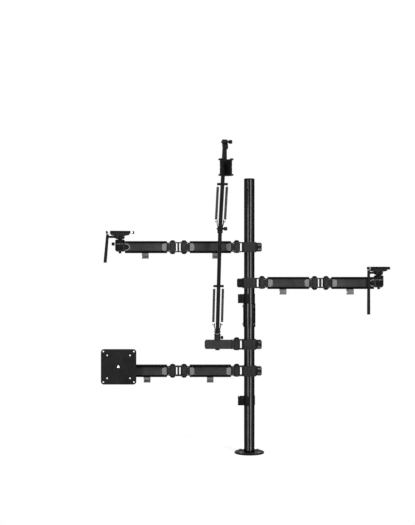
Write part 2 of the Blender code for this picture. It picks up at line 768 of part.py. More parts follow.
def build_long_arm(name, stand, height, heading, head_turn, knob_turn=0.0):
    """A collar with its two links; the head's turn is from straight ahead, whatever the arm's heading."""
    collar = body(name + "_arm", stand, at=(0, 0, height), turn=(0, 0, heading))
    build_collar(name, collar)
    inner = body(name + "_inner", collar, at=(pivot_reach, 0, 0))
    build_link(name + "_inner_link", inner)
    build_link_clip(name + "_inner_clip", inner, link_clip_places[name][0])
    elbow = body(name + "_elbow_turn", inner, at=(link_length, 0, 0))
    build_elbow(name + "_elbow", elbow)
    outer = body(name + "_outer", elbow, at=(elbow_spacing, 0, 0))
    barrel_top = screen_barrel_top if name == "screen" else tilt_barrel_top
    build_link(name + "_outer_link", outer, barrel_top, knob_turn)
    build_link_clip(name + "_outer_clip", outer, link_clip_places[name][1])
    end = body(name + "_end", outer, at=(link_length, 0, 0))
    build_head = build_screen_head if name == "screen" else build_tilt_head
    build_head(name, end, head_turn - heading)
    build_pan_knob(name + "_pan_knob", end, barrel_top - pan_knob_drop, knob_turn)


def build_mic_arm(stand):
    """The short arm with the boom's socket, and the swivelling fork that stands in it."""
    collar = body("mic_arm_collar", stand, at=(0, 0, mic_collar_height), turn=(0, 0, 180))
    build_collar("mic", collar)
    arm = body("mic_arm_turn", collar, at=(pivot_reach, 0, 0))
    start, end, socket_x = tube_setback, mic_tube_end - pivot_reach, boom_reach - pivot_reach
    tube = slab(rounded(mic_tube_width, mic_tube_height, tube_corner), start, end, "X")
    plug_size = (mic_tube_width - 2 * tube_corner, mic_tube_height - 2 * tube_corner)
    plug = slab(rounded(*plug_size, tube_corner / 2), end - overlap, end + mic_tube_plug, "X")
    top, side = mic_tube_height / 2, neck_width / 2
    half = collar_height / 2
    inner = half - plate_thickness - turning_gap
    barrel = rod(knuckle_radius, -inner, inner, medium)
    bar = box((0, -side, -inner + overlap), (start + overlap, side, inner - overlap))
    socket = rod(boom_socket_radius, top - overlap, boom_socket_top, fine, (socket_x, 0, 0), bevel=edge_bevel)
    way = boom_spindle_diameter / 2 + seat_gap
    lock_height = (top + boom_socket_top) / 2
    start_x, end_x = -boom_socket_radius - past, -lock_shank
    cuts = [hole(lock_shank + seat_gap, start_x, end_x, coarse, (socket_x, 0, lock_height), "X")]
    cuts.append(hole(way, -boom_socket_top - past, boom_socket_top + past, odd, (socket_x, 0, 0)))
    cuts.append(hole(pivot_pin_diameter / 2 + seat_gap, -half, half, coarse))
    piece("mic_arm", "powder", arm, [tube, plug, barrel, bar, socket], cuts)

    lock = body("mic_swivel_lock_turn", arm, at=(socket_x, 0, lock_height), turn=(0, 0, 180))
    tip, face, radius = way + seat_gap, boom_socket_radius + overlap, lock_radius
    profile = [(0, tip), (lock_shank, tip), (lock_shank, face), (radius - edge_bevel, face)]
    profile += [(radius, face + edge_bevel), (radius, face + lock_length - edge_bevel)]
    profile += [(radius - edge_bevel, face + lock_length), (0, face + lock_length)]
    piece("mic_swivel_lock", "plastic", lock, [turned(profile, coarse, axis="X")])

    swivel = body("mic_boom_swivel", arm, at=(socket_x, 0, 0), turn=(0, 0, 180 + boom_yaw))
    radius, nut_radius = boom_spindle_diameter / 2, boom_spindle_diameter / 2 + 2 * overlap
    seat, nut_top = boom_socket_top + seat_gap, -top - seat_gap
    washer = seat + boom_washer
    profile = [(0, nut_top - boom_nut_height), (nut_radius, nut_top - boom_nut_height)]
    profile += [(nut_radius, nut_top), (radius, nut_top), (radius, seat), (boom_socket_radius, seat)]
    profile += [(boom_socket_radius, washer), (0, washer)]
    width, depth = boom_socket_radius + overlap, fork_depth / 2
    shoulder = boom_pivot_height - boom_end_radius - overlap
    saddle = box((-width, -depth, washer - overlap), (width, depth, shoulder))
    forms = [turned(profile, medium), saddle, *fork_forms(boom_pivot_height), cross_bolt(boom_pivot_height)]
    piece("mic_boom_fork", "powder", swivel, forms)
    return body("mic_lower_boom_tilt", swivel, at=(0, 0, boom_pivot_height), turn=(lower_boom_lean, 0, 0))


def cross_bolt(height):
    reach = boom_tube / 2 + seat_gap + boom_cheek + boom_bolt_end
    return rod(boom_bolt_diameter / 2, -reach, reach, coarse, (0, 0, height), "X")


def fork_forms(height):
    """Two cheeks that flare from a pivot up to the spring anchors, with the anchor pins."""
    inner = boom_tube / 2 + seat_gap
    wide = spring_spread - spring_diameter / 2 - overlap
    rise = height + spring_anchor_height
    low, depth = height - boom_end_radius - 2 * overlap, fork_depth / 2
    flare = [(inner, low), (inner, height + fork_waist), (wide, rise - fork_top), (wide, rise + fork_top)]
    outline = flare + [(x + boom_cheek, z) for x, z in reversed(flare)]
    forms = []
    for sign in (-1, 1):
        forms.append(slab([(sign * x, z) for x, z in outline], -depth, depth, "Y"))
        start, end = sorted((sign * (wide + overlap), sign * (spring_spread + spring_pin_end)))
        forms.append(rod(spring_pin_diameter / 2, start, end, 8, (0, 0, rise), "X"))
    return forms


def boom_forms(length, plain_end):
    """A square tube with a rounded foot, an eye or a plain end at its head, and the springs' crossbar."""
    half, eye = boom_tube / 2, boom_end_radius
    outline = arc((0, 0), eye, 200, 340, 8) + [(half, eye)]
    if plain_end:
        outline += [(half, length - plain_end), (-half, length - plain_end)]
    else:
        outline += [(half, length - eye)] + arc((0, length), eye, -20, 200, 12) + [(-half, length - eye)]
    outline += [(-half, eye)]
    bar, reach = spring_bar_size, spring_spread + spring_pin_end
    cross = slab(rounded(bar, bar, bar / 5, 2, (0, spring_bar_height)), -reach, reach, "X")
    return [slab(outline, -half, half, "X"), cross]


def bolt_hole(height):
    reach = boom_tube + boom_cheek
    return hole(boom_bolt_diameter / 2 + seat_gap, -reach, reach, coarse, (0, 0, height), "X")


def least_gap(points):
    """The least clear distance between the wire's points that lie half a curl or more apart along it."""
    apart = spring_points_per_curl // 2
    gaps = []
    for i, point in enumerate(points):
        gaps += [(point - other).length for other in points[i + apart:]]
    return min(gaps) - spring_wire


def build_spring(name, carrier, side):
    """A wound spring with a straight end at each pin, as one unbroken wire."""
    mean = (spring_diameter - spring_wire) / 2
    low, high, lead = spring_coil_low, spring_coil_high, spring_lead
    foot = spring_anchor_height + spring_pin_diameter / 2 + seat_gap
    head = spring_bar_height - spring_bar_size / 2 - seat_gap
    count = spring_curls * spring_points_per_curl
    points = [(0, 0, foot), (0, 0, low - lead), (mean / 2, 0, low - lead / 4)]
    for i in range(count + 1):
        angle = 2 * math.pi * i / spring_points_per_curl
        points.append((mean * math.cos(angle), mean * math.sin(angle), low + (high - low) * i / count))
    points += [(mean / 2, 0, high + lead / 4), (0, 0, high + lead), (0, 0, head)]
    curve = bpy.data.curves.new(name, "CURVE")
    curve.dimensions = "3D"
    curve.bevel_depth = spring_wire / 2
    curve.bevel_resolution = 1
    curve.use_fill_caps = True
    spline = curve.splines.new("POLY")
    spline.points.add(len(points) - 1)
    for point, place in zip(spline.points, points):
        point.co = (place[0] + side * spring_spread, place[1], place[2], 1)
    curve.materials.append(finish_material(name, "dark_steel"))
    spring = bpy.data.objects.new(name, curve)
    spring.parent = carrier
    bpy.context.collection.objects.link(spring)
    gap = least_gap([Vector(place) for place in points])
    print(f"{name}: least gap between its curls {gap * 1000:.2f} mm")


def build_side_knob(name, carrier, height):
    """A clamp bolt through a boom joint, with its knob on the right."""
    turn = body(name + "_turn", carrier, at=(0, 0, height))
    shaft, head, edge = boom_bolt_diameter / 2, boom_knob_diameter / 2, 2 * edge_bevel
    face = boom_tube / 2 + 2 * seat_gap + boom_cheek
    neck, tip, cap = boom_knob_neck_radius, face + boom_knob_length, shaft + overlap
    profile = [(0, -face - boom_bolt_end), (cap, -face - boom_bolt_end), (cap, -face), (shaft, -face)]
    profile += [(shaft, face), (neck, face), (neck, face + boom_knob_neck)]
    profile += [(head, face + boom_knob_neck + edge)]
    profile += [(head, tip - edge), (head - edge, tip), (0, tip)]
    piece(name, "plastic", turn, [turned(profile, coarse, axis="X")])


def build_mic_clip(upper):
    """The clip that holds a microphone below the top joint: a split sleeve with a flange at each end."""
    tilt = body("mic_clip_tilt", upper, at=(0, 0, upper_boom_length), turn=(-upper_boom_lean, 0, 0))
    inner = boom_tube / 2 + seat_gap
    outer = inner + boom_cheek
    front, back, high, low = clip_bridge_front, clip_bridge_back, clip_bridge_top, clip_bridge_bottom
    cheeks = []
    for sign in (-1, 1):
        x = sorted((sign * inner, sign * outer))
        outline = arc((0, 0), boom_end_radius, -40, 190, 10) + [(front, high), (front, low), (back, low)]
        cheeks.append(slab(outline, x[0], x[1], "X"))
    inset = 2 * seat_gap
    bridge = box((-outer + inset, front + inset, low + inset), (outer - inset, back + inset, high + overlap))
    wall, bore = clip_bore / 2 + clip_wall, clip_bore / 2
    wall_back, stem = -clip_forward + wall, clip_stem_width / 2
    stem_top = low + (high - low) / 3
    stem_low = (-stem, wall_back - clip_wall / 2, -clip_drop)
    stem_form = box(stem_low, (stem, wall_back + clip_stem_depth, stem_top))
    half, flange, rim = clip_length / 2, clip_flange_diameter / 2, clip_flange_thickness
    profile = [(bore, -half), (flange, -half), (flange, -half + rim), (wall, -half + rim + 2 * overlap)]
    profile += [(radius, -height) for radius, height in reversed(profile)] + [(bore, -half)]
    sleeve = turned(profile, fine, (0, -clip_forward, -clip_drop))
    mouth_end = -clip_forward - 2 * overlap
    mouth = box(
        (-clip_mouth / 2, mouth_end - flange - past, -clip_drop - half - past),
        (clip_mouth / 2, mouth_end, -clip_drop + half + past),
    )
    piece("mic_clip", "rubber", tilt, [sleeve, stem_form, bridge, *cheeks], [mouth, bolt_hole(0)])


def build_boom(lower):
    """Both boom sections with their springs, the joint knobs and the clip at the top."""
    outer = boom_tube / 2 + seat_gap + boom_cheek
    top, depth = lower_boom_length, fork_depth / 2
    shoulder = top - boom_end_radius - overlap
    saddle = box((-outer, -depth, shoulder - boom_saddle), (outer, depth, shoulder))
    forms = [*boom_forms(top, boom_end_radius + 2 * overlap), saddle, *fork_forms(top)]
    piece("mic_lower_boom", "powder", lower, forms, [bolt_hole(0), bolt_hole(top)])
    lean = upper_boom_lean - lower_boom_lean
    upper = body("mic_upper_boom_tilt", lower, at=(0, 0, top), turn=(lean, 0, 0))
    cuts = [bolt_hole(0), bolt_hole(upper_boom_length)]
    piece("mic_upper_boom", "powder", upper, boom_forms(upper_boom_length, 0), cuts)
    for place, carrier in (("lower", lower), ("upper", upper)):
        for word, side in (("left", -1), ("right", 1)):
            build_spring(f"mic_{place}_{word}_spring", carrier, side)
    build_side_knob("mic_elbow_knob", lower, top)
    build_side_knob("mic_top_knob", upper, upper_boom_length)
    build_mic_clip(upper)


def main():
    clear_scene()
    stand = build_stand()
    build_long_arm("ring", stand, ring_collar_height, 180.0, ring_head_turn)
    build_long_arm("camera", stand, camera_collar_height, 0.0, camera_head_turn, 90.0)
    build_long_arm("screen", stand, screen_collar_height, 180.0, 0.0)
    build_boom(build_mic_arm(stand))


main()
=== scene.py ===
import bmesh
import bpy
import json
import math
from mathutils import Matrix, Vector


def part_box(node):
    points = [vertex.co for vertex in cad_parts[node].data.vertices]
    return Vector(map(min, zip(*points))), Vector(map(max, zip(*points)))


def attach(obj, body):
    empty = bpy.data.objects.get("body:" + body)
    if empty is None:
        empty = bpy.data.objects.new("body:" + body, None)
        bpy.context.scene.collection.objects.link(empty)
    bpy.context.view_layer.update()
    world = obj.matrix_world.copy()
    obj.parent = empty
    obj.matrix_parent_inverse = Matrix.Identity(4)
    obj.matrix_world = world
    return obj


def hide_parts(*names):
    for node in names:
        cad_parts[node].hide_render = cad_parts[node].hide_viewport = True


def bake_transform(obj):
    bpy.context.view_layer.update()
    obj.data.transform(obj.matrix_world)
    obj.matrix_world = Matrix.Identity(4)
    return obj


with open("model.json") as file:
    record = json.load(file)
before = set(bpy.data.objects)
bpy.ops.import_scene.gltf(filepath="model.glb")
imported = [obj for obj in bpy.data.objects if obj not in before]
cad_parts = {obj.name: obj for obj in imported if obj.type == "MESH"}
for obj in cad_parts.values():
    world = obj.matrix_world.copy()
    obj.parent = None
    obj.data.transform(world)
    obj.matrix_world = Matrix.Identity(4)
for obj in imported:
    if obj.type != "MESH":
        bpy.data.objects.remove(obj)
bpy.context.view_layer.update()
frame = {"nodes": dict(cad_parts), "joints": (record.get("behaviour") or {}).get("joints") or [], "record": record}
nodes = frame["nodes"]
bodyOf = {node: body for body, names in frame["record"]["behaviour"]["bodies"].items() for node in names}
print("frame loaded:", len(nodes), "nodes")


# Finishes

def setValues(node, values):
    for name, value in values.items():
        node.inputs[name].default_value = value
    return node


def newMaterial(name, colour, roughness, metallic=0.0, specular=0.5, edge=1.0):
    material = bpy.data.materials.new(name)
    material.use_nodes = True
    setValues(material.node_tree.nodes["Principled BSDF"], {
        "Base Color": (*colour, 1.0), "Roughness": roughness, "Metallic": metallic, "Specular IOR Level": specular,
        "Specular Tint": (edge, edge, edge, 1.0),
    })
    return material


def addNoise(material, scale, detail):
    tree = material.node_tree
    place = tree.nodes.new("ShaderNodeTexCoord")
    values = {"Scale": scale, "Detail": detail, "Roughness": 0.55}
    noise = setValues(tree.nodes.new("ShaderNodeTexNoise"), values)
    tree.links.new(place.outputs["Object"], noise.inputs["Vector"])
    return noise.outputs["Fac"]


def ramp(material, value, stops):
    node = material.node_tree.nodes.new("ShaderNodeValToRGB")
    for element, (place, colour) in zip(node.color_ramp.elements, stops):
        element.position, element.color = place, (*colour, 1.0)
    material.node_tree.links.new(value, node.inputs["Fac"])
    return node.outputs["Color"]


def rangeOf(material, value, low, high, start=0.3, end=0.7):
    values = {"From Min": start, "From Max": end, "To Min": low, "To Max": high}
    node = setValues(material.node_tree.nodes.new("ShaderNodeMapRange"), values)
    material.node_tree.links.new(value, node.inputs["Value"])
    return node.outputs["Result"]


def addBump(material, value, distance):
    tree = material.node_tree
    bump = setValues(tree.nodes.new("ShaderNodeBump"), {"Strength": 0.35, "Distance": distance})
    tree.links.new(value, bump.inputs["Height"])
    tree.links.new(bump.outputs["Normal"], tree.nodes["Principled BSDF"].inputs["Normal"])


def setInput(material, name, value):
    material.node_tree.links.new(value, material.node_tree.nodes["Principled BSDF"].inputs[name])


def grained(name, greys, roughness, grain, height, metallic=0.0, specular=0.5, edge=1.0, spread=0.07, blue=(0, 0)):
    dark, light = [(value, value, value + more) for value, more in zip(greys, blue)]
    material = newMaterial(name, light, roughness, metallic, specular, edge)
    broad = addNoise(material, 30.0, 4.0)
    setInput(material, "Base Color", ramp(material, broad, [(0.32, dark), (0.68, light)]))
    fine = addNoise(material, grain, 2.0)
    setInput(material, "Roughness", rangeOf(material, fine, roughness - spread, roughness + spread))
    addBump(material, fine, height)
    return material


finish = {
    "pole": grained("glossBlackPaint", (0.015, 0.020), 0.16, 900.0, 0.000004, metallic=1.0, edge=0.06, spread=0.02),
    "powder": grained("powderCoat", (0.004, 0.007), 0.50, 1900.0, 0.00010, specular=0.04),
    "collar": grained("castCollarCoat", (0.008, 0.013), 0.50, 1200.0, 0.00014, specular=0.06),
    # Painted shade: a near-black, low-gloss copy of the link paint for the dark reflection on the links' rounded
    # corners and rims
    "band": grained("linkEdgePaintedShade", (0.001, 0.002), 0.50, 1500.0, 0.00004, specular=0.02),
    "panel": grained("linkPanelPaint", (0.010, 0.016), 0.44, 1700.0, 0.00005, specular=0.08),
    "pad": grained("greyEndPad", (0.068, 0.090), 0.50, 1300.0, 0.00005, specular=0.20, blue=(0.001, 0.001)),
    "clip": grained("greyClipPlastic", (0.054, 0.072), 0.54, 1100.0, 0.00006, specular=0.20, blue=(0.001, 0.001)),
    "plastic": grained("satinBlackPlastic", (0.002, 0.004), 0.46, 1500.0, 0.00005, specular=0.04),
    "knob": grained("knobPlastic", (0.003, 0.006), 0.46, 1800.0, 0.00006, specular=0.06),
    "rubber": grained("mattRubber", (0.003, 0.006), 0.60, 1000.0, 0.00008, specular=0.05),
    "spring": grained("blackSpringSteel", (0.010, 0.022), 0.34, 2200.0, 0.00003, metallic=0.5, blue=(0.001, 0.001)),
    "wire": grained("brightWire", (0.55, 0.70), 0.28, 2600.0, 0.00002, metallic=1.0, blue=(0.01, 0.01)),
    "screw": grained("darkScrewSteel", (0.040, 0.075), 0.32, 2400.0, 0.00003, metallic=1.0, blue=(0.001, 0.002)),
    "zinc": grained("zincShank", (0.46, 0.60), 0.32, 2400.0, 0.00002, metallic=1.0, blue=(0.01, 0.01)),
}
print("finishes made:", len(finish))


# Tools for shaping a piece

def newObject(name, data):
    thing = bpy.data.objects.new(name, data)
    bpy.context.collection.objects.link(thing)
    return thing


def useOnly(*pieces):
    bpy.ops.object.select_all(action="DESELECT")
    for piece in pieces:
        piece.select_set(True)
    bpy.context.view_layer.objects.active = pieces[0]


def editAll():
    bpy.ops.object.mode_set(mode="EDIT")
    bpy.ops.mesh.select_all(action="SELECT")


def objectMode():
    bpy.ops.object.mode_set(mode="OBJECT")


def extrude(x, y, z):
    bpy.ops.mesh.extrude_region_move(TRANSFORM_OT_translate={"value": (x, y, z)})


def mergeDoubles():
    bpy.ops.mesh.remove_doubles(threshold=0.000002)


def smoothBelow(angle):
    bpy.ops.object.shade_smooth_by_angle(angle=math.radians(angle))


def tidyNormals(piece):
    useOnly(piece)
    editAll()
    mergeDoubles()
    bpy.ops.mesh.normals_make_consistent(inside=False)
    objectMode()


def softenEdges(piece, width, segments=2, angle=35.0):
    useOnly(piece)
    bevel = piece.modifiers.new("softEdges", "BEVEL")
    bevel.width = width
    bevel.segments = segments
    bevel.limit_method = "ANGLE"
    bevel.angle_limit = math.radians(angle)
    bevel.harden_normals = False
    bpy.ops.object.modifier_apply(modifier=bevel.name)
    smoothBelow(angle + 5.0)


def moved(place):
    return Matrix.Translation(place)


def quarterTurns(axis, steps=1):
    return Matrix.Rotation(steps * math.pi / 2, 4, axis)


def degreesAbout(axis, degrees):
    return Matrix.Rotation(math.radians(degrees), 4, axis)


def finishShape(piece, width, segments=2, angle=35.0):
    objectMode()
    tidyNormals(piece)
    softenEdges(piece, width, segments, angle)


turnTo = {
    "X": Matrix.Rotation(math.pi / 2, 4, "Y"), "-X": Matrix.Rotation(-math.pi / 2, 4, "Y"),
    "Y": Matrix.Rotation(-math.pi / 2, 4, "X"), "Z": Matrix(),
}


def turnedPiece(profile, sides=64, at=(0, 0, 0), axis="Z", open=False):
    radius, height = profile[0]
    bpy.ops.mesh.primitive_circle_add(
        vertices=sides, radius=radius, fill_type="NOTHING" if open else "NGON", location=(0, 0, height)
    )
    piece = bpy.context.object
    bpy.ops.object.transform_apply(location=True)
    editAll()
    for nextRadius, nextHeight in profile[1:]:
        if open:
            bpy.ops.mesh.extrude_edges_move(TRANSFORM_OT_translate={"value": (0, 0, nextHeight - height)})
        else:
            extrude(0, 0, nextHeight - height)
        grow = nextRadius / radius
        bpy.ops.transform.resize(value=(grow, grow, 1.0), center_override=(0, 0, nextHeight))
        radius, height = nextRadius, nextHeight
    objectMode()
    tidyNormals(piece)
    piece.matrix_world = moved(at) @ turnTo[axis]
    useOnly(piece)
    bpy.ops.object.transform_apply(location=True, rotation=True)
    smoothBelow(38.0)
    return piece


def cadCopy(node, width=0.0005, segments=2, angle=35.0):
    useOnly(nodes[node])
    bpy.ops.object.duplicate()
    piece = bpy.context.object
    piece.hide_render = False
    editAll()
    mergeDoubles()
    bpy.ops.mesh.dissolve_limited(angle_limit=math.radians(0.5))
    objectMode()
    if width:
        softenEdges(piece, width, segments, angle)
    return piece


def softCopy(node, newName, finishName, *soft):
    namePiece(paint(cadCopy(node, *soft), finishName), newName, node)


# Shapes that several pieces share

def cubePiece(low, high, width=0.0006, segments=3):
    middle = [(a + b) / 2 for a, b in zip(low, high)]
    bpy.ops.mesh.primitive_cube_add(size=1.0, location=middle, scale=[b - a for a, b in zip(low, high)])
    piece = bpy.context.object
    bpy.ops.object.transform_apply(location=True, scale=True)
    if width:
        softenEdges(piece, width, segments)
    return piece


def pick(look, keys):
    return [look[key] for key in keys.split()]


def mirrored(profile, total=0.0):
    return [(radius, total - height) for radius, height in reversed(profile)]


def onSide(side, first, second):
    return sorted((side * first, side * second))


def softCorner(radius, low, rim):
    return [(radius - rim, low), (radius - rim * 0.3, low + rim * 0.3), (radius, low + rim)]


def rodPiece(radius, low, high, at=(0, 0, 0), axis="Z", sides=48, rim=0.0005):
    turn = [(radius - rim * (1 - math.sin(a)), low + rim * (1 - math.cos(a))) for a in (0.0, 0.5, 1.05, math.pi / 2)]
    return turnedPiece(turn + mirrored(turn, low + high), sides, at, axis)


def prismPiece(outline, low, high, soft=0.0004):
    mesh = bmesh.new()
    face = mesh.faces.new([mesh.verts.new((low, along, up)) for along, up in outline])
    grown = bmesh.ops.extrude_face_region(mesh, geom=[face])["geom"]
    corners = [item for item in grown if isinstance(item, bmesh.types.BMVert)]
    bmesh.ops.translate(mesh, vec=(high - low, 0, 0), verts=corners)
    bmesh.ops.recalc_face_normals(mesh, faces=mesh.faces)
    data = bpy.data.meshes.new("prism")
    mesh.to_mesh(data)
    mesh.free()
    piece = newObject("prism", data)
    softenEdges(piece, soft, 2, 30.0)
    return piece


def ringProfile(inner, outer, low, high, rim):
    outside = [(outer - rim, low), (outer, low + rim), (outer, high - rim), (outer - rim, high)]
    return [(inner, low), *outside, (inner, high)]


def ringPiece(inner, outer, low, high, rim, sides=96, at=(0, 0, 0)):
    return turnedPiece(ringProfile(inner, outer, low, high, rim) + [(inner, low)], sides, at, open=True)


def paint(piece, finishName):
    piece.data.materials.clear()
    piece.data.materials.append(finish[finishName])
    return piece


def paintFaces(piece, finishName, test):
    piece.data.materials.append(finish[finishName])
    last = len(piece.data.materials) - 1
    for face in piece.data.polygons:
        if test(face):
            face.material_index = last
    return piece


def joinPieces(pieces):
    useOnly(*pieces)
    bpy.ops.object.join()
    return bpy.context.object


def placeMesh(piece, place):
    useOnly(piece)
    piece.matrix_world = place @ piece.matrix_world
    bpy.ops.object.transform_apply(location=True, rotation=True, scale=True)
    return piece


def cutAway(piece, *cutters):
    useOnly(piece)
    for cutter in cutters:
        cut = piece.modifiers.new("cut", "BOOLEAN")
        cut.operation = "DIFFERENCE"
        cut.solver = "EXACT"
        cut.object = cutter
        bpy.ops.object.modifier_apply(modifier=cut.name)
    putAway(*cutters)
    useOnly(piece)
    smoothBelow(38.0)
    return piece


def placedCopy(master, place):
    useOnly(master)
    bpy.ops.object.duplicate()
    return placeMesh(bpy.context.object, place)


def putAway(*masters):
    for master in masters:
        bpy.data.objects.remove(master, do_unlink=True)


def namePiece(piece, newName, *replacedNodes):
    piece.name = newName
    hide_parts(*replacedNodes)
    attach(piece, bodyOf[replacedNodes[0]])
    return piece


def copyAndName(master, place, newName, node):
    namePiece(placedCopy(master, place), newName, node)


def startSelecting(piece, kind):
    useOnly(piece)
    bpy.ops.object.mode_set(mode="EDIT")
    bpy.ops.mesh.select_mode(type=kind)
    bpy.ops.mesh.select_all(action="DESELECT")
    objectMode()


def joinAndName(parts, place, newName, node):
    namePiece(placeMesh(joinPieces(parts), place), newName, node)


def facesWhere(piece, test):
    startSelecting(piece, "FACE")
    for face in piece.data.polygons:
        face.select = bool(test(face))
    bpy.ops.object.mode_set(mode="EDIT")


def edgesWhere(piece, test):
    startSelecting(piece, "EDGE")
    points = piece.data.vertices
    for edge in piece.data.edges:
        edge.select = bool(test(points[edge.vertices[0]].co, points[edge.vertices[1]].co))
    bpy.ops.object.mode_set(mode="EDIT")


jointAt = {joint["name"]: Vector(joint["pos_m"]) for joint in frame["joints"] if "pos_m" in joint}
heading = {"ring": math.pi, "camera": 0.0, "mic": math.pi, "screen": math.pi}
longArms = ("ring", "camera", "screen")
fourCorners = ((-1, -1), (-1, 1), (1, -1), (1, 1))


def armPlace(arm, at):
    return moved(at) @ Matrix.Rotation(heading[arm], 4, "Z")


def collarCentre(arm):
    low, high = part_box(arm + "_collar_front")
    return Vector((0, 0, (low.z + high.z) / 2))


# Camera at the photograph's place, level, along +Y

view = {"place": (-0.139, -3.45, 0.633), "fieldOfView": 28.4, "sensor": 24.0}
camera = newObject("camera", bpy.data.cameras.new("camera"))
camera.data.sensor_fit = "VERTICAL"
camera.data.sensor_height = view["sensor"]
camera.data.lens = view["sensor"] / 2 / math.tan(math.radians(view["fieldOfView"] / 2))
camera.location = view["place"]
camera.rotation_euler = (math.radians(90.0), 0.0, 0.0)
bpy.context.scene.camera = camera

studio = {
    "floorSize": 12.0,
    "floorDrop": -0.0005,
    "floorColour": (0.86, 0.86, 0.86),
    "floorFade": {"near": 0.25, "start": 0.05, "end": 0.50},
    "world": 0.45,
    "key": {"place": (-1.55, -2.7, 0.7), "size": (0.62, 4.0), "power": 141.0},
    "fill": {"place": (1.6, -2.6, 0.7), "size": (0.62, 4.0), "power": 176.0},
    "top": {"place": (0.0, 0.4, 2.8), "size": (2.4, 2.0), "power": 40.0},
    "aim": (-0.05, 0.0, 0.55),
}


def mathNode(tree, operation, first, second):
    node = tree.nodes.new("ShaderNodeMath")
    node.operation = operation
    tree.links.new(first, node.inputs[0])
    tree.links.new(second, node.inputs[1])
    return node.outputs[0]


def mixInto(tree, share, lit, white, out):
    mix = tree.nodes.new("ShaderNodeMixShader")
    for source, place in zip((share, lit, white), mix.inputs):
        tree.links.new(source, place)
    tree.links.new(mix.outputs[0], out)


# Seen by the camera, in a gloss or through glass the world is white; it lights the part less brightly

def backgroundWhite(tree, lit, out):
    path = tree.nodes.new("ShaderNodeLightPath").outputs
    seen = mathNode(tree, "MAXIMUM", path["Is Glossy Ray"], path["Is Transmission Ray"])
    either = mathNode(tree, "MAXIMUM", path["Is Camera Ray"], seen)
    white = setValues(tree.nodes.new("ShaderNodeBackground"), {"Color": (1, 1, 1, 1), "Strength": 1.0})
    mixInto(tree, either, lit, white.outputs[0], out)


world = bpy.data.worlds.new("studio")
world.use_nodes = True
ground = setValues(world.node_tree.nodes["Background"], {"Color": (1, 1, 1, 1), "Strength": studio["world"]})
backgroundWhite(world.node_tree, ground.outputs[0], world.node_tree.nodes["World Output"].inputs["Surface"])
bpy.context.scene.world = world
bpy.context.scene.view_settings.view_transform = "Standard"

bpy.ops.mesh.primitive_plane_add(size=studio["floorSize"], location=(0, 0, studio["floorDrop"]))
floor = bpy.context.object
floor.name = "studio_floor"
floorMaterial = newMaterial("palePaper", studio["floorColour"], 0.9)


def fadeToWhite(material, fade):
    tree = material.node_tree
    place = tree.nodes.new("ShaderNodeTexCoord")
    away = tree.nodes.new("ShaderNodeVectorMath")
    away.operation = "LENGTH"
    tree.links.new(place.outputs["Object"], away.inputs[0])
    share = rangeOf(material, away.outputs["Value"], fade["near"], 1.0, fade["start"], fade["end"])
    path = tree.nodes.new("ShaderNodeLightPath").outputs
    seen = mathNode(tree, "MULTIPLY", share, path["Is Camera Ray"])
    white = setValues(tree.nodes.new("ShaderNodeEmission"), {"Strength": 1.0})
    lit = tree.nodes["Principled BSDF"].outputs[0]
    mixInto(tree, seen, lit, white.outputs[0], tree.nodes["Material Output"].inputs["Surface"])


fadeToWhite(floorMaterial, studio["floorFade"])
floor.data.materials.append(floorMaterial)
floor.visible_glossy = False


def softLamp(name, lamp):
    data = bpy.data.lights.new(name, "AREA")
    data.shape = "RECTANGLE"
    data.size, data.size_y = lamp["size"]
    data.energy = lamp["power"]
    thing = newObject(name, data)
    thing.location = lamp["place"]
    aim = Vector(studio["aim"]) - Vector(lamp["place"])
    thing.rotation_euler = aim.to_track_quat("-Z", "Y").to_euler()


for lampName in ("key", "fill", "top"):
    softLamp(lampName + "_lamp", studio[lampName])
print("camera, floor and lamps set")


# The two lengths of pole

poleLook = {"rim": 0.0007, "bore": 0.015}


def tubePiece(node):
    low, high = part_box(node)
    tube = ringPiece(poleLook["bore"], (high.x - low.x) / 2, low.z, high.z, poleLook["rim"])
    namePiece(paint(tube, "pole"), node + "_tube", node)


tubePiece("lower_pole")
tubePiece("upper_pole")
print("pole made")


# Screws with a hexagonal socket, modelled once and copied

screwLook = {"head": 0.0043, "height": 0.0032, "socket": 0.0021, "deep": 0.0018, "rim": 0.0005, "sides": 40}


def socketScrew():
    head, tall, rim, socket = pick(screwLook, "head height rim socket")
    profile = [(head, 0.0), (head, tall - rim), (head - rim * 0.3, tall - rim * 0.3), (head - rim, tall)]
    screw = turnedPiece(profile, screwLook["sides"])
    facesWhere(screw, lambda face: face.normal.z > 0.99 and face.center.z > tall - 0.0001)
    bpy.ops.mesh.inset(thickness=head - rim - socket)
    extrude(0, 0, -screwLook["deep"])
    objectMode()
    six = math.pi / 3
    for point in screw.data.vertices:  # the socket's round wall is pressed to a hexagon
        across = math.hypot(point.co.x, point.co.y)
        if across < socket * 1.01 and point.co.z > 0.0001:
            angle = math.atan2(point.co.y, point.co.x)
            flat = socket * math.cos(six / 2) / math.cos((angle + six / 2) % six - six / 2)
            point.co.x, point.co.y = flat * math.cos(angle), flat * math.sin(angle)
    tidyNormals(screw)
    useOnly(screw)
    smoothBelow(32.0)
    return screw


smallScrew = paint(socketScrew(), "screw")


def screwAt(at, axis, scale=1.0):
    aim = Vector(axis).to_track_quat("Z", "X").to_matrix().to_4x4()
    return placedCopy(smallScrew, moved(at) @ aim @ Matrix.Scale(scale, 4))


# Base flange with its four screws

flangeLook = {
    "foot": 0.0005, "rim": 0.0014, "ring": 0.0260, "ringIn": 0.0252, "sink": 0.0004, "boss": 0.0146, "bossRim": 0.001,
    "screwOffset": 0.029, "screwSink": 0.0008, "screwScale": 1.18, "poleGap": 0.0003, "sides": 128,
}


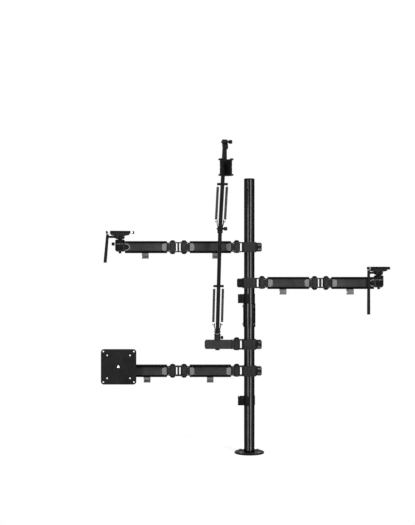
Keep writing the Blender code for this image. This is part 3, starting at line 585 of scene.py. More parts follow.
def buildFlange():
    look = flangeLook
    low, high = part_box("desk_flange")
    radius, plate = (high.x - low.x) / 2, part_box("lower_pole")[0].z - look["poleGap"]
    foot, rim, boss = pick(look, "foot rim boss")
    profile = [(radius - foot, 0.0), (radius, foot), (radius, plate - rim)]
    for turn in (0.4, 0.8, 1.2, math.pi / 2):
        profile.append((radius - rim * (1 - math.cos(turn)), plate - rim * (1 - math.sin(turn))))
    profile += [(look["ring"], plate), (look["ringIn"], plate - look["sink"]), (boss, plate - look["sink"])]
    profile += [(boss, high.z - look["bossRim"]), (boss - look["bossRim"], high.z)]
    parts = [paint(turnedPiece(profile, look["sides"]), "powder")]
    for x, y in fourCorners:
        at = (x * look["screwOffset"], y * look["screwOffset"], plate - look["screwSink"])
        parts.append(screwAt(at, (0, 0, 1), look["screwScale"]))
    namePiece(joinPieces(parts), "base_flange", "desk_flange")


buildFlange()


# Sleeve that joins the two poles, and the cap

sleeveLook = {
    "screwAngles": (-45, 75, 195), "inset": 0.010, "screwSink": 0.0009, "rim": 0.0009, "outer": 0.0205, "bore": 0.0178,
    "sides": 96,
}
capLook = {
    "radius": 0.0175, "dome": 0.0016, "plug": 0.0147, "edge": 0.0037, "soft": 0.0003, "ring": 0.0120, "ringIn": 0.0115,
    "sink": 0.0004, "middle": 0.004, "sides": 96,
}


def buildSleeve():
    low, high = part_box("pole_coupler")
    outer, rim, bore = pick(sleeveLook, "outer rim bore")
    profile = [(bore, low.z)] + softCorner(outer, low.z, rim)
    profile += mirrored(profile, low.z + high.z) + [(bore, low.z)]
    parts = [paint(turnedPiece(profile, sleeveLook["sides"], open=True), "pole")]
    for height in (low.z + sleeveLook["inset"], high.z - sleeveLook["inset"]):
        for angle in sleeveLook["screwAngles"]:
            out = Vector((math.cos(math.radians(angle)), math.sin(math.radians(angle)), 0))
            parts.append(screwAt(out * (outer - sleeveLook["screwSink"]) + Vector((0, 0, height)), out))
    namePiece(joinPieces(parts), "pole_sleeve", "pole_coupler")


def buildCap():
    look = capLook
    low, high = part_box("pole_cap")
    radius, dome, edge, soft = look["radius"], look["dome"], high.z - look["edge"], look["soft"]
    profile = [(look["plug"], low.z), (look["plug"], edge), (radius - soft, edge), (radius, edge + soft)]
    for turn in (0.0, 0.4, 0.8, 1.2, math.pi / 2):
        profile.append((radius - dome * (1 - math.cos(turn)), high.z - dome * (1 - math.sin(turn))))
    sunk = high.z - look["sink"]
    profile += [(look["ring"], high.z), (look["ringIn"], sunk), (look["middle"], sunk)]
    namePiece(paint(turnedPiece(profile, look["sides"]), "plastic"), "pole_end_cap", "pole_cap")


buildSleeve()
buildCap()
print("base, sleeve and cap made")


# Clamp collars: one is softened from the frame's own solids and copied to the others

collarLook = {
    "screwOut": 0.032, "screwSpread": 0.0075, "screwSink": 0.0002, "earFace": 0.012, "earEdge": -0.0225, "soft": 0.0007,
    "headsWide": 0.006, "headsTall": 0.0125,
}


def softenedCollarHalf(half):
    look = collarLook
    piece = placeMesh(cadCopy("ring_collar_" + half, 0.0), armPlace("ring", collarCentre("ring")).inverted())
    useOnly(piece)
    if half == "front":  # the frame's plain screw heads are cut off and their holes closed

        def onHead(face):
            near = abs(face.center.x + look["screwOut"]) < look["headsWide"] and abs(face.center.z) < look["headsTall"]
            return near and face.center.y > look["earFace"] + 0.0001

        facesWhere(piece, onHead)
        bpy.ops.mesh.delete(type="FACE")
        bpy.ops.mesh.select_mode(type="EDGE")
        bpy.ops.mesh.select_all(action="DESELECT")
        bpy.ops.mesh.select_non_manifold()
        bpy.ops.mesh.fill_holes(sides=0)
        objectMode()
    softenEdges(piece, look["soft"], 3)
    paint(piece, "collar")
    return paintFaces(piece, "powder", lambda face: face.center.x < look["earEdge"])


def buildCollars():
    look = collarLook
    rear, front = softenedCollarHalf("rear"), softenedCollarHalf("front")
    for arm in heading:
        place = armPlace(arm, collarCentre(arm))
        copyAndName(rear, place, arm + "_clamp_rear", arm + "_collar_rear")
        parts = [placedCopy(front, place)]
        for z in (-1, 1):
            at = (-look["screwOut"], look["earFace"] - look["screwSink"], z * look["screwSpread"])
            parts.append(screwAt(place @ Vector(at), place.to_3x3() @ Vector((0, 1, 0))))
        namePiece(joinPieces(parts), arm + "_clamp_front", arm + "_collar_front")
    putAway(rear, front)


buildCollars()
print("collars made")


# Pivot bolts, elbows and links: each is made once in an arm's own coordinates and copied

pivotLook = {
    "shaft": 0.0040, "cap": 0.0090, "capHeight": 0.0065, "footHeight": 0.0026, "seat": 0.0173, "elbowSeat": 0.0170,
    "brim": 0.0009, "brimEdge": 0.0004, "top": 0.0006, "inset": 0.0002, "sides": 56,
}


def capCrown(seat, height):
    look = pivotLook
    cap, brim, edge = pick(look, "cap brim brimEdge")
    crown = [(look["top"], seat + height)]
    for step in range(1, 9):
        turn = math.radians(90 * step / 9)
        crown.append(((cap - look["inset"]) * math.sin(turn), seat + brim + (height - brim) * math.cos(turn)))
    return crown + [(cap, seat + brim), (cap, seat + edge), (cap - edge, seat), (look["shaft"], seat)]


def cappedPin(seat, x=0.0, under=None):
    crown, foot = capCrown(seat, pivotLook["capHeight"]), capCrown(seat, under or pivotLook["capHeight"])
    return paint(turnedPiece(crown + mirrored(foot), pivotLook["sides"], (x, 0, 0)), "plastic")


def stadiumPiece(length, radius, low, high, soft=0.0006):
    bpy.ops.mesh.primitive_circle_add(vertices=72, radius=radius, fill_type="NGON", location=(0, 0, low))
    piece = bpy.context.object
    bpy.ops.object.transform_apply(location=True)
    for point in piece.data.vertices:
        if point.co.x > 0.00001:
            point.co.x += length
    editAll()
    extrude(0, 0, high - low)
    finishShape(piece, soft, 2)
    return piece


elbowLook = {"spacing": 0.038, "radius": 0.012, "low": 0.013, "high": 0.017, "web": 0.0030, "bite": 0.0005}


def elbowMaster():
    look = elbowLook
    parts = []
    for side in (-1, 1):
        low, high = onSide(side, look["low"], look["high"])
        parts.append(stadiumPiece(look["spacing"], look["radius"], low, high))
    middle, web, radius, inner = look["spacing"] / 2, look["web"], look["radius"], look["low"] + look["bite"]
    parts.append(cubePiece((middle - web, -radius, -inner), (middle + web, radius, inner)))
    for part in parts:
        paint(part, "collar")
    return joinPieces(parts + [cappedPin(pivotLook["elbowSeat"], x) for x in (0.0, look["spacing"])])


linkLook = {
    "length": 0.175, "start": 0.019, "width": 0.030, "height": 0.040, "corner": 0.0040, "band": 0.0034,
    "recess": 0.0010, "padLong": 0.0150, "padRise": 0.0006, "padTaper": 0.72, "padKnee": 0.6,
    "padGap": 0.0003, "padStart": 0.0005,
    "barrel": 0.0115, "barrelHalf": 0.0126, "bore": 0.0043, "neckWide": 0.0095, "neckHigh": 0.0155,
    "neckTuck": 0.001, "neckStart": 0.006, "tongueLong": 0.0172, "tongueRim": 0.0034, "tongueRise": 0.0008,
    "tongueTop": 0.0014, "soft": 0.0006, "bite": 0.0004,
}


def linkChannel(end):
    look = linkLook
    y, z = look["width"] / 2, look["height"] / 2
    tube = cubePiece((look["start"], -y, -z), (end, y, z), 0.0)
    edgesWhere(tube, lambda a, b: abs(a.x - b.x) > 0.01)
    bpy.ops.mesh.bevel(offset=look["corner"], segments=6, profile=0.5)
    objectMode()
    # The tube's rounded corners and rims are painted near-black as painted shade; the recessed side panels keep the
    # lighter panel paint
    paint(tube, "band")
    tube.data.materials.append(finish["panel"])
    long = end - look["start"]
    for side in (-1, 1):
        facesWhere(tube, lambda f: side * f.normal.y > 0.999 and side * f.center.y > y - 0.0002 and f.area > 0.001)
        bpy.ops.mesh.inset(thickness=look["band"])
        bpy.ops.transform.resize(value=((long - 0.0006) / (long - 2 * look["band"]), 1, 1))
        extrude(0, -side * look["recess"], 0)
        tube.active_material_index = 1
        bpy.ops.object.material_slot_assign()
        objectMode()
    softenEdges(tube, 0.00025, 2, 30.0)
    return tube


def endPad(end, along, side):
    look = linkLook
    wide = look["height"] / 2 - look["corner"] - look["band"] - look["padGap"]
    floor = look["width"] / 2 - look["recess"]
    start = end + along * look["padStart"]
    knee, tip = start + along * look["padLong"] * look["padKnee"], start + along * look["padLong"]
    xs = sorted((start, knee))
    ys = onSide(side, floor - look["padRise"], floor + look["padRise"] + look["recess"])
    pad = cubePiece((xs[0], ys[0], -wide), (xs[1], ys[1], wide), 0.0)
    facesWhere(pad, lambda f: along * f.normal.x > 0.9)
    extrude(tip - knee, 0, 0)
    bpy.ops.transform.resize(value=(1, 1, look["padTaper"]))
    finishShape(pad, 0.0005, 3, 20.0)
    return paint(pad, "pad")


def tongue(end, side, inset, rise, finishName):
    look = linkLook
    floor = look["width"] / 2 - look["recess"]
    bpy.ops.mesh.primitive_circle_add(vertices=72, radius=1.0, fill_type="NGON", rotation=(math.pi / 2, 0, 0))
    piece = bpy.context.object
    tall = look["height"] / 2 - look["corner"] - look["band"]
    piece.scale = (look["tongueLong"] - inset, tall - inset, 1.0)
    piece.location = (end, side * (floor - look["bite"]), 0)
    bpy.ops.object.transform_apply(location=True, rotation=True, scale=True)
    mesh = bmesh.new()
    mesh.from_mesh(piece.data)
    everything = mesh.verts[:] + mesh.edges[:] + mesh.faces[:]
    cut = (end - look["bite"], 0, 0)
    bmesh.ops.bisect_plane(mesh, geom=everything, plane_co=cut, plane_no=(1, 0, 0), clear_outer=True)
    mesh.to_mesh(piece.data)
    mesh.free()
    editAll()
    extrude(0, side * (rise + look["bite"]), 0)
    finishShape(piece, 0.0003, 2, 30.0)
    return paint(piece, finishName)


def knuckle(x, along):
    look = linkLook
    half = look["barrelHalf"]
    soft, tuck = pick(look, "soft neckTuck")
    parts = [ringPiece(look["bore"], look["barrel"], -half, half, soft, 64, (x, 0, 0))]
    slim = (look["neckStart"], look["start"] + 2 * tuck, look["neckWide"] - tuck, half - 2 * soft, 0.0006)
    stout = (elbowLook["radius"] + soft, look["start"] + tuck, look["neckWide"], look["neckHigh"], 1.5 * soft)
    for near, far, wide, high, edge in (slim, stout):
        low, top = sorted((x + along * near, x + along * far))
        parts.append(cubePiece((low, -wide, -high), (top, wide, high), edge))
    return [paint(part, "collar") for part in parts]


headBarrel = {
    "radius": 0.0165, "bottom": -0.015, "taper": 0.006, "foot": 0.0119, "nut": 0.0045, "nutDrop": 0.006,
    "spindle": 0.0063, "deep": 0.0223, "bridge": 0.012, "bridgeEnd": 0.003, "bandDrop": 0.006, "bandHalf": 0.0008,
    "bandDeep": 0.001, "sides": 96, "tiltTop": 0.0165, "screenTop": 0.010,
}


def barrelStack(top):
    look, at, bridge = headBarrel, (linkLook["length"], 0, 0), headBarrel["bridge"]
    radius, low, nut, drop = pick(look, "radius bottom nut nutDrop")
    profile = [(nut - 0.0005, low - drop), (nut, low - drop + 0.0005)]
    profile += [(nut, low), (look["foot"] - 0.0005, low), (look["foot"], low + 0.0005)]
    wall, foot = radius - 0.0003, low + look["taper"]
    profile += [(wall - 0.0004, foot - 0.0003), (wall, foot + 0.0004)]
    thin = look["spindle"]
    profile += [(wall, top - 0.0006), (wall - 0.0006, top), (thin, top), (thin, top - look["deep"])]
    barrel = paint(turnedPiece(profile, look["sides"], at), "plastic")
    paintFaces(barrel, "collar", lambda face: low + 0.0002 < face.center.z < foot)
    mid, ring = top - look["bandDrop"], look["bandHalf"]
    band = ringPiece(wall - look["bandDeep"], radius, mid - ring, mid + ring, 0.0002, look["sides"], at)
    ceiling = min(top, linkLook["neckHigh"]) - 0.001
    block = cubePiece((at[0] - radius - look["bridgeEnd"], -bridge, low + 0.001), (at[0] - radius / 2, bridge, ceiling))
    return [barrel, paint(block, "collar"), paint(band, "pad")]


def linkMaster(barrelTop=None):
    look = linkLook
    far = look["length"] - (look["start"] if barrelTop is None else headBarrel["radius"] + 0.001)
    parts = [linkChannel(far), *knuckle(0.0, 1)]
    parts += [endPad(look["start"], 1, side) for side in (-1, 1)]
    if barrelTop is None:
        parts += knuckle(look["length"], -1)
        parts += [endPad(far, -1, side) for side in (-1, 1)]
    else:
        parts += barrelStack(barrelTop)
        for side in (-1, 1):
            parts.append(tongue(far, side, 0.0, look["tongueRise"], "pad"))
            parts.append(tongue(far, side, look["tongueRim"], look["tongueTop"], "plastic"))
    return joinPieces(parts)


def copyToArm(master, arm, joint, newName, node):
    copyAndName(master, armPlace(arm, jointAt[arm + joint]), arm + newName, arm + node)


def buildLinks():
    bolt = cappedPin(pivotLook["seat"], 0.0, pivotLook["footHeight"])
    for arm in heading:
        copyToArm(bolt, arm, "_shoulder", "_pivot_pin", "_pivot_bolt")
    elbow, inner = elbowMaster(), linkMaster()
    outer = {"tilt": linkMaster(headBarrel["tiltTop"]), "screen": linkMaster(headBarrel["screenTop"])}
    for arm in longArms:
        copyToArm(inner, arm, "_shoulder", "_first_link", "_inner_link")
        copyToArm(elbow, arm, "_elbow_in", "_elbow_yoke", "_elbow")
        kind = "screen" if arm == "screen" else "tilt"
        copyToArm(outer[kind], arm, "_elbow_out", "_second_link", "_outer_link")
    putAway(bolt, elbow, inner, *outer.values())
    for arm in longArms:
        for place in ("_inner", "_outer"):
            softCopy(arm + place + "_clip", arm + place + "_lead_clip", "clip", 0.0005, 3)


buildLinks()
print("pivots, elbows and links made")


# Knobs with flutes round their rim

def flutedKnob(profile, flutes, band, at=(0, 0, 0), axis="X", depth=0.0004):
    knob = turnedPiece(profile, flutes * 4)
    step = 2 * math.pi / flutes

    def inGroove(face):
        across, along, height = face.center
        onWall = abs(face.normal.z) < 0.3 and band[0] < height < band[1]
        return onWall and math.atan2(along, across) % step < step / 2

    facesWhere(knob, inGroove)
    bpy.ops.mesh.inset(thickness=0.0002, depth=-depth)
    objectMode()
    softenEdges(knob, 0.00012, 1, 30.0)
    return placeMesh(paint(knob, "knob"), moved(at) @ turnTo[axis])


def knobProfile(radius, low, high, rim=0.0008):
    foot = softCorner(radius, low, rim)
    return foot + mirrored(foot, low + high) + [(radius * 0.35, high + 0.0002)]


# Heads that pan and tilt: a base, a platform on a stepped cradle, and a long handle

headLook = {
    "tilt": 0.034, "base": 0.0168, "top": 0.025, "radius": 0.0165, "shoulder": 0.0022, "wallInset": 0.0004,
    "spindle": 0.006, "foot": -0.0055, "lug": 0.0075, "lugHalf": 0.0065, "earIn": 0.0068, "earOut": 0.0133,
    "earLong": 0.0115, "deckMiddle": 0.049, "deckLong": 0.0335, "deckWide": 0.018,
    "shaft": 0.0030, "shaftEnd": 0.0472, "knob": 0.0049, "knobLong": 0.0052,
    "turn": {"ring": 15.0, "camera": 31.0},
}
# The platform's layers: insets from its length and width, bottom, top, corner, finish and edge
deckLayers = (
    (0.0, 0.0, 0.0470, 0.0534, 0.006, "plastic", 0.0006),
    (0.0018, 0.0018, 0.0530, 0.054, 0.0045, "rubber", 0.0002),
    (0.0015, 0.0012, 0.044, 0.0472, 0.005, "collar", 0.0006),
)
cradleLook = {"long": 0.030, "wide": 0.009, "low": 0.0415, "high": 0.0445, "steps": ((0.0020, 0.93), (0.0016, 0.60))}
handleLook = {
    "across": -0.0425, "hub": 0.0038, "boss": 0.0050, "bossLong": 0.004, "gap": 0.0003, "neck": 0.0047, "grip": 0.0055,
    "rise": 0.009, "tip": 0.0016, "grooves": 4, "grooveStart": 0.004, "groovePitch": 0.0028, "grooveDeep": 0.0005,
    "drop": {"ring": 0.086, "camera": 0.138}, "lean": {"ring": 5.0, "camera": 0.0},
}


def headPlace(arm):
    return moved(jointAt[arm + "_pan"]) @ degreesAbout("Z", headLook["turn"][arm])


def upright(piece, height, up=1):
    turn = Matrix.Rotation(-up * math.pi / 2, 4, "Y")
    return placeMesh(piece, moved((0, 0, height)) @ turn)


def panBaseMaster():
    look = headLook
    radius, low, top, shoulder = pick(look, "radius base top shoulder")
    thin, foot, wall = look["spindle"], look["foot"], look["radius"] - look["wallInset"]
    profile = [(thin - 0.0006, foot), (thin, foot + 0.0006), (thin, low)]
    profile += [(radius - 0.0008, low), (radius, low + 0.0006), (radius, low + 0.0012), (wall, low + 0.0015)]
    profile += [(wall, top - shoulder), (wall - 0.0006, top - shoulder + 0.0006), (radius - shoulder, top - 0.0002)]
    profile += [(radius - shoulder - 0.0004, top), (0.004, top)]
    base = paint(turnedPiece(profile, 96), "plastic")
    lug = upright(stadiumPiece(look["tilt"] - top, look["lug"], -look["lugHalf"], look["lugHalf"]), look["tilt"], -1)
    return joinPieces([base, paint(lug, "plastic")])


def roundedPlate(wide, deep, low, high, corner, finishName, soft=0.0006):
    plate = cubePiece((-wide, -deep, low), (wide, deep, high), 0.0)
    edgesWhere(plate, lambda a, b: abs(a.z - b.z) > (high - low) / 2)
    bpy.ops.mesh.bevel(offset=corner, segments=8)
    objectMode()
    softenEdges(plate, soft, 3)
    return paint(plate, finishName)


def cradlePiece():
    look = cradleLook
    long, wide, low, high = pick(look, "long wide low high")
    cradle = cubePiece((-long, -wide, low), (long, wide, high), 0.0)
    facesWhere(cradle, lambda face: face.normal.z < -0.9)
    for drop, grow in look["steps"]:
        extrude(0, 0, -drop)
        bpy.ops.transform.resize(value=(grow, 1, 1))
    finishShape(cradle, 0.0005, 2, 20.0)
    return paint(cradle, "collar")


def platformMaster():
    look = headLook
    parts = []
    for insetLong, insetWide, *layer in deckLayers:
        parts.append(roundedPlate(look["deckLong"] - insetLong, look["deckWide"] - insetWide, *layer))
    parts.append(cradlePiece())
    middle, end = (0, 0, look["deckMiddle"]), look["shaftEnd"] - 0.0002
    face = look["shaftEnd"] - look["knobLong"]
    for side, axis in ((-1, "-X"), (1, "X")):
        low, high = onSide(-side, look["earIn"], look["earOut"])
        parts.append(paint(upright(stadiumPiece(look["earLong"], look["lug"], low, high), look["tilt"]), "collar"))
        shaft = rodPiece(look["shaft"], look["deckLong"] - 0.002, face + 0.0004, sides=32)
        parts.append(placeMesh(paint(shaft, "zinc"), moved(middle) @ turnTo[axis]))
        profile = knobProfile(look["knob"], face, end, 0.0005)
        parts.append(flutedKnob(profile, 14, (face + 0.0006, end - 0.0006), middle, axis, 0.0003))
    parts.append(screwAt((look["earOut"] - 0.0004, 0, look["tilt"]), (1, 0, 0), 0.9))
    return joinPieces(parts)


def buildHandle(arm):
    look, tilt = handleLook, headLook["tilt"]
    neck, grip, rise, tip, deep, pitch, begin = pick(look, "neck grip rise tip grooveDeep groovePitch grooveStart")
    foot = -look["drop"][arm]
    profile = [(grip - tip, foot), (grip - 0.0005, foot + 0.0005), (grip, foot + tip)]
    for groove in range(look["grooves"]):
        start = foot + begin + groove * pitch
        profile += [(grip - 0.0001, start), (grip - deep, start + 0.0003)]
        profile += [(grip - deep, start + 0.0007), (grip - 0.0001, start + 0.0010)]
    profile += [(grip - (grip - neck) * 0.6, foot * 0.45), (neck, rise - 0.0012), (neck - 0.0004, rise - 0.0004)]
    profile += [(neck - 0.0014, rise)]
    lean = degreesAbout("Y", look["lean"][arm])
    rod = placeMesh(paint(turnedPiece(profile, 64), "rubber"), moved((look["across"], 0, tilt)) @ lean)
    start, end, at = look["across"] + neck * 0.5, -headLook["earOut"] - look["gap"], (0, 0, tilt)
    hub = paint(rodPiece(look["hub"], start, end, at, "X"), "plastic")
    boss = paint(rodPiece(look["boss"], end - look["bossLong"], end, at, "X"), "plastic")
    joinAndName([rod, hub, boss], headPlace(arm), arm + "_tilt_handle", arm + "_handle")


# Lock knobs, with a shank that presses on what turns

lockLook = {"face": 0.0178, "radius": 0.0055, "long": 0.010, "shank": 0.0025, "tip": 0.0066}
swivelLockLook = {"face": 0.0115, "radius": 0.0055, "long": 0.008, "shank": 0.0020, "tip": 0.0062}
lockTurn = {"ring": math.pi, "camera": math.pi / 2, "screen": math.pi}


def lockMaster(look):
    face, end = look["face"], look["face"] + look["long"]
    shank = rodPiece(look["shank"], look["tip"], face + 0.001, (0, 0, 0), "X", 32)
    knob = flutedKnob(knobProfile(look["radius"], face, end - 0.0002), 12, (face + 0.001, end - 0.001))
    return joinPieces([paint(shank, "zinc"), knob])


def buildHeads():
    base, platform, lock = panBaseMaster(), platformMaster(), lockMaster(lockLook)
    for arm in ("ring", "camera"):
        copyAndName(base, headPlace(arm), arm + "_pan_turntable", arm + "_pan_base")
        copyAndName(platform, headPlace(arm), arm + "_top_platform", arm + "_platform")
        buildHandle(arm)
    for arm in longArms:
        place = moved(jointAt[arm + "_pan_lock"]) @ Matrix.Rotation(lockTurn[arm], 4, "Z")
        copyAndName(lock, place, arm + "_lock_knob", arm + "_pan_knob")
    putAway(base, platform, lock)


buildHeads()
print("tilting heads made")


# Springs: a closely wound coil with a bright hook for its pin and a bright wire end for its crossbar

boomLook = {"lower": 14.0, "upper": 27.6, "yaw": 5.3, "lowerLong": 0.350, "upperLong": 0.300}
springLook = {
    "low": 0.0335, "high": 0.1475, "mean": 0.0034, "wire": 0.00082, "pitch": 0.00185, "spread": 0.0145,
    "pin": 0.0235, "hook": 0.0025, "hookWire": 0.00062, "lead": 0.0012, "leadLong": 0.0030, "end": 0.1531,
    "bendLow": 0.0262, "bendHigh": 0.060,
}
boltLook = {"out": 0.0083, "washer": 0.0048, "thick": 0.0007, "rim": 0.0002, "seat": 0.0006, "screwScale": 0.72}


def boomPlace(section):
    joint = {"lower": "mic_lower_tilt", "upper": "mic_elbow_tilt"}[section]
    yaw = degreesAbout("Z", boomLook["yaw"])
    return moved(jointAt[joint]) @ yaw @ degreesAbout("X", boomLook[section])


def wirePiece(points, radius, finishName):
    data = bpy.data.curves.new("wire", "CURVE")
    data.dimensions = "3D"
    data.bevel_depth = radius
    data.bevel_resolution = 2
    data.use_fill_caps = True
    line = data.splines.new("POLY")
    line.points.add(len(points) - 1)
    for point, place in zip(line.points, points):
        point.co = (*place, 1.0)
    useOnly(newObject("wire", data))
    bpy.ops.object.convert(target="MESH")
    bpy.ops.object.shade_smooth()
    return paint(bpy.context.object, finishName)


def springMaster():
    look = springLook
    low, high, mean = pick(look, "low high mean")
    count = round((high - low) / look["pitch"])
    points = []
    for i in range(count * 14 + 1):
        angle = 2 * math.pi * i / 14
        points.append((mean * math.cos(angle), mean * math.sin(angle), low + (high - low) * i / (count * 14)))
    hook = [(mean, 0, low), (mean * 0.5, 0, low - look["lead"]), (0, -look["lead"], low - look["leadLong"])]
    for i in range(15):
        angle = math.radians(-60 + 300 * i / 14)
        hook.append((0.0, look["hook"] * math.sin(angle), look["pin"] - look["hook"] * math.cos(angle)))
    end = [(mean, 0, high), (mean * 0.5, 0, high + look["lead"]), (0, 0, high + look["leadLong"]), (0, 0, look["end"])]
    parts = [wirePiece(points, look["wire"], "spring")]
    parts += [wirePiece(line, look["hookWire"], "wire") for line in (hook, end)]
    return joinPieces(parts)


def stretch(piece, newName, node):
    # The copy is renamed, the frame's spring is hidden and the copy's placement is baked into its mesh
    piece.name = newName
    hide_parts(node)
    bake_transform(piece)


# Boom sections: the frame's own forms with soft edges, and the bolt that the lower one turns on

def boomBolt():
    look = boltLook
    parts = []
    for side in (-1, 1):
        washer = rodPiece(look["washer"], 0.0, look["thick"], sides=40, rim=look["rim"])
        aim = moved((side * look["out"], 0, 0)) @ quarterTurns("Y", side)
        parts.append(placeMesh(paint(washer, "zinc"), aim))
        parts.append(screwAt((side * (look["out"] + look["seat"]), 0, 0), (side, 0, 0), look["screwScale"]))
    return [placeMesh(part, boomPlace("lower")) for part in parts]


def buildBoom():
    spring = springMaster()
    for section, pinBody in (("lower", bodyOf["mic_boom_fork"]), ("upper", bodyOf["mic_lower_boom"])):
        for word, side in (("left", -1), ("right", 1)):
            place = boomPlace(section) @ moved((side * springLook["spread"], 0, 0))
            node = "mic_" + section + "_" + word
            stretch(placedCopy(spring, place), node + "_coil", node + "_spring")
    putAway(spring)
    fork = [paint(cadCopy("mic_boom_fork", 0.0003, 2, 32.0), "powder")]
    namePiece(joinPieces(fork + boomBolt()), "mic_swivel_fork", "mic_boom_fork")
    for section in ("mic_lower", "mic_upper"):
        softCopy(section + "_boom", section + "_section", "powder", 0.0004, 2, 32.0)


# Joint knobs of the boom: a bolt through the joint with a fluted thumb knob on the right

sideKnob = {
    "face": 0.00855, "radius": 0.006, "long": 0.015, "neck": 0.0036, "neckLong": 0.004, "shaft": 0.0025, "nut": 0.0035,
    "nutLong": 0.0028, "rim": 0.0012, "band": 0.0014, "deep": 0.0005, "overlap": 0.001,
}


def sideKnobMaster():
    look, at = sideKnob, (0, 0, 0)
    face, over = pick(look, "face overlap")
    low, high = face + look["neckLong"], face + look["long"] - 0.0003
    shaft = rodPiece(look["shaft"], -face - over, face + over, at, "X", 40)
    nut = rodPiece(look["nut"], -face - look["nutLong"], -face, at, "X", 6, 0.0003)
    neck = rodPiece(look["neck"], face, low + over, at, "X", 40)
    profile = knobProfile(look["radius"], low, high, look["rim"])
    knob = flutedKnob(profile, 10, (low + look["band"], high - look["band"]), depth=look["deep"])
    return joinPieces([paint(shaft, "zinc"), paint(nut, "screw"), paint(neck, "plastic"), knob])


def buildSideKnobs():
    knob = sideKnobMaster()
    for section, word in (("lower", "mic_elbow"), ("upper", "mic_top")):
        place = boomPlace(section) @ moved((0, 0, boomLook[section + "Long"]))
        copyAndName(knob, place, word + "_thumb_knob", word + "_knob")
    putAway(knob)


buildBoom()
buildSideKnobs()
print("boom, springs and knobs made")


# Microphone clip: a split sleeve with a rim at each end, on the bridge of two cheeks

clipLook = {
    "drop": 0.082, "forward": 0.034, "bore": 0.0165, "wall": 0.0191, "half": 0.026, "flange": 0.0235, "rim": 0.004,
    "soft": 0.0006, "groove": 0.0030, "mouth": 0.012, "yokeEnd": -0.0245, "stem": 0.005, "stemIn": 0.0013,
    "stemDeep": 0.0055, "stemLow": 0.004, "stemTop": -0.020, "beyond": 0.2,
}


def clipSleeve():
    look = clipLook
    bore, wall, half, flange, soft = pick(look, "bore wall half flange soft")
    step, groove, far = look["rim"] - look["half"], look["groove"], look["beyond"]
    lower = [(bore, -half + soft), (bore + soft, -half), (flange - soft, -half), (flange, -half + soft)]
    lower += [(flange, step - soft), (flange - soft, step), (wall + 0.0012, step + 0.0004), (wall, step + 0.0022)]
    lower += [(wall, -groove - 0.0005), (wall - 0.0005, -groove)]
    sleeve = turnedPiece(lower + mirrored(lower) + [lower[0]], 120, open=True)
    cutAway(sleeve, cubePiece((-look["mouth"], -far, -far), (look["mouth"], 0, far), 0.0))
    return placeMesh(sleeve, moved((0, -look["forward"], -look["drop"])))


def buildMicClip():
    look, far = clipLook, clipLook["beyond"]
    place = moved(jointAt["mic_clip_tilt"]) @ degreesAbout("Z", boomLook["yaw"])
    yoke = placeMesh(cadCopy("mic_clip", 0.0), place.inverted())
    cutAway(yoke, cubePiece((-far, -far, -far), (far, far, look["yokeEnd"]), 0.0))
    softenEdges(yoke, 0.0005, 3, 32.0)
    back, wide = look["wall"] - look["forward"], look["stem"]
    low = (-wide, back - look["stemIn"], -look["drop"] - look["stemLow"])
    stem = cubePiece(low, (wide, back + look["stemDeep"], look["stemTop"]), 0.0009)
    parts = [paint(piece, "rubber") for piece in (yoke, clipSleeve(), stem)]
    joinAndName(parts, place, "mic_split_clip", "mic_clip")


buildMicClip()
print("microphone clip made")


# Microphone arm: a square tube with a pivot end, an end plug and the boom's socket, and its lock knob

armLook = {
    "low": 0.019, "high": 0.104, "wide": 0.013, "tall": 0.015, "corner": 0.004, "plug": 0.0025, "plugWide": 0.009,
    "plugTall": 0.011, "plugIn": 0.001, "plugCorner": 0.002, "socketAt": 0.064, "socket": 0.0105, "socketTop": 0.030,
    "groove": 0.0003, "bore": 0.0058,
}


def buildMicArm():
    look = armLook
    high, bore, outer, top = pick(look, "high bore socket socketTop")
    low, groove, at = look["tall"] - 0.0005, look["socket"] - look["groove"], (look["socketAt"], 0, 0)
    tube = roundedPlate(look["tall"], look["wide"], look["low"], high, look["corner"], "panel", 0.0005)
    plug = (look["plugTall"], look["plugWide"], high - look["plugIn"], high + look["plug"], look["plugCorner"])
    tube, plug = [placeMesh(part, quarterTurns("Y")) for part in (tube, roundedPlate(*plug, "plastic", 0.0004))]
    cutAway(tube, rodPiece(bore, -0.04, 0.04, at))
    profile = [(bore, low), (outer, low), (outer, low + 0.0012), (outer, top - 0.0036), (groove, top - 0.0033)]
    profile += [(groove, top - 0.0029), (outer, top - 0.0026), (outer, top - 0.0008), (outer - 0.0008, top)]
    profile += [(bore + 0.0006, top), (bore, top - 0.0006), (bore, low)]
    socket = paint(turnedPiece(profile, 96, at, open=True), "collar")
    place = armPlace("mic", jointAt["mic_shoulder"])
    joinAndName([tube, plug, socket] + knuckle(0.0, 1), place, "mic_short_arm", "mic_arm")
    lock = placeMesh(lockMaster(swivelLockLook), moved(jointAt["mic_swivel_lock"]))
    namePiece(lock, "mic_swivel_thumb_knob", "mic_swivel_lock")


buildMicArm()
print("microphone arm made")


# Screen head: a swivel block, a tilting bracket and the turning plate with its two hole patterns

screenLook = {
    "radius": 0.0165, "low": 0.0103, "high": 0.0267, "foot": -0.0119, "spindle": 0.006, "groove": 0.0004, "lug": 0.0065,
    "reach": 0.036, "bore": 0.0033, "half": 0.0082, "cheekIn": 0.0068, "cheekOut": 0.0108, "cap": 0.005,
    "capLong": 0.0032, "bolt": 0.003, "disc": 0.020, "discBack": 0.0122, "discFace": 0.0162, "stud": 0.004,
    "studEnd": 0.0225, "plate": 0.058, "plateBack": 0.0165, "plateFace": 0.0195, "corner": 0.010, "hole": 0.0026,
    "studHole": 0.0043, "pitches": (0.0375, 0.050), "drill": (0.01, 0.03),
}


def halfCircle(middle, radius, start):
    turns = [math.radians(start + 180 * step / 24) for step in range(25)]
    return [(middle[0] + radius * math.cos(turn), middle[1] + radius * math.sin(turn)) for turn in turns]


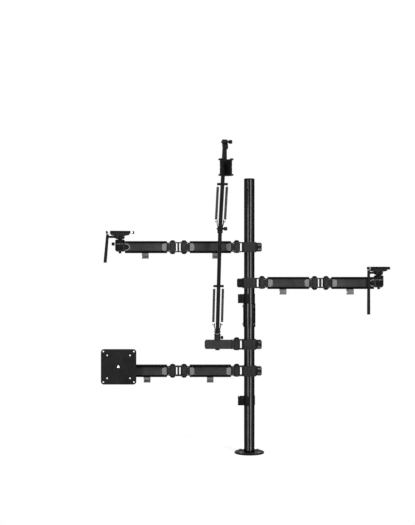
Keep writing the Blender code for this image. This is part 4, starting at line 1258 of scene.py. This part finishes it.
def buildSwivelBlock(place):
    look = screenLook
    radius, low, high, foot, thin = pick(look, "radius low high foot spindle")
    inside, middle, half, reach = radius - look["groove"], (low + high) / 2, (high - low) / 2, look["reach"]
    profile = [(thin - 0.0006, foot), (thin, foot + 0.0006), (thin, low)]
    profile += [(radius - 0.0008, low), (radius, low + 0.0008), (radius, low + 0.0030)]
    profile += [(inside, low + 0.0034), (inside, low + 0.0040), (radius, low + 0.0044)]
    profile += [(radius, high - 0.0020), (radius - 0.0006, high - 0.0008), (radius - 0.0020, high - 0.0001)]
    profile += [(0.006, high), (0.0054, high - 0.0008), (0.004, high - 0.0010)]
    barrel = turnedPiece(profile, 96)
    outline = [(0, low + 0.0001), (0, high - 0.0001)] + halfCircle((-reach, middle), half, 90)
    lug = prismPiece(outline, -look["lug"], look["lug"], 0.0006)
    cutAway(lug, rodPiece(look["bore"], -0.02, 0.02, (0, -reach, middle), "X", 40))
    parts = [paint(part, "plastic") for part in (barrel, lug)]
    joinAndName(parts, place, "screen_swivel_hub", "screen_swivel_block")


def buildBracket(place):
    look = screenLook
    half, back, face, outer = pick(look, "half discBack discFace cheekOut")
    parts = []
    outline = [(-back - 0.001, half), (-back - 0.001, -half)] + halfCircle((0, 0), half - 0.001, -90)
    for side, sides in ((-1, 6), (1, 48)):
        low, high = onSide(side, look["cheekIn"], outer)
        parts.append(paint(prismPiece(outline, low, high), "powder"))
        cap = rodPiece(look["cap"], outer - 0.0005, outer + look["capLong"], sides=sides, rim=0.0004)
        parts.append(paint(placeMesh(cap, quarterTurns("Y", side)), "screw"))
    parts.append(paint(rodPiece(look["bolt"], -outer, outer, (0, 0, 0), "X", 40), "zinc"))
    disc = paint(turnedPiece(ringProfile(0.006, look["disc"], back, face, 0.0008), 96), "powder")
    stud = paint(rodPiece(look["stud"], face - 0.0005, look["studEnd"], sides=40), "zinc")
    parts += [placeMesh(part, quarterTurns("X")) for part in (disc, stud)]
    joinAndName(parts, place, "screen_tilt_yoke", "screen_tilt_bracket")


def buildPlate(place):
    look, drill = screenLook, screenLook["drill"]
    size = look["plate"]
    plate = roundedPlate(size, size, look["plateBack"], look["plateFace"], look["corner"], "powder", 0.0004)
    cutters = [rodPiece(look["studHole"], *drill)]
    for pitch in look["pitches"]:
        for x, y in fourCorners:
            cutters.append(rodPiece(look["hole"], *drill, (x * pitch, y * pitch, 0), sides=40))
    cutAway(plate, joinPieces(cutters))
    namePiece(placeMesh(plate, place @ quarterTurns("X")), "screen_mount_plate", "screen_plate")


buildSwivelBlock(moved(jointAt["screen_swivel"]))
buildBracket(moved(jointAt["screen_tilt"]))
buildPlate(moved(jointAt["screen_tilt"]))
print("screen head made")


# Cable clips on the pole

for word in ("upper", "lower"):
    softCopy(word + "_pole_clip", word + "_lead_hook", "plastic", 0.0004, 2, 25.0)
print("pole clips made")


putAway(smallScrew)
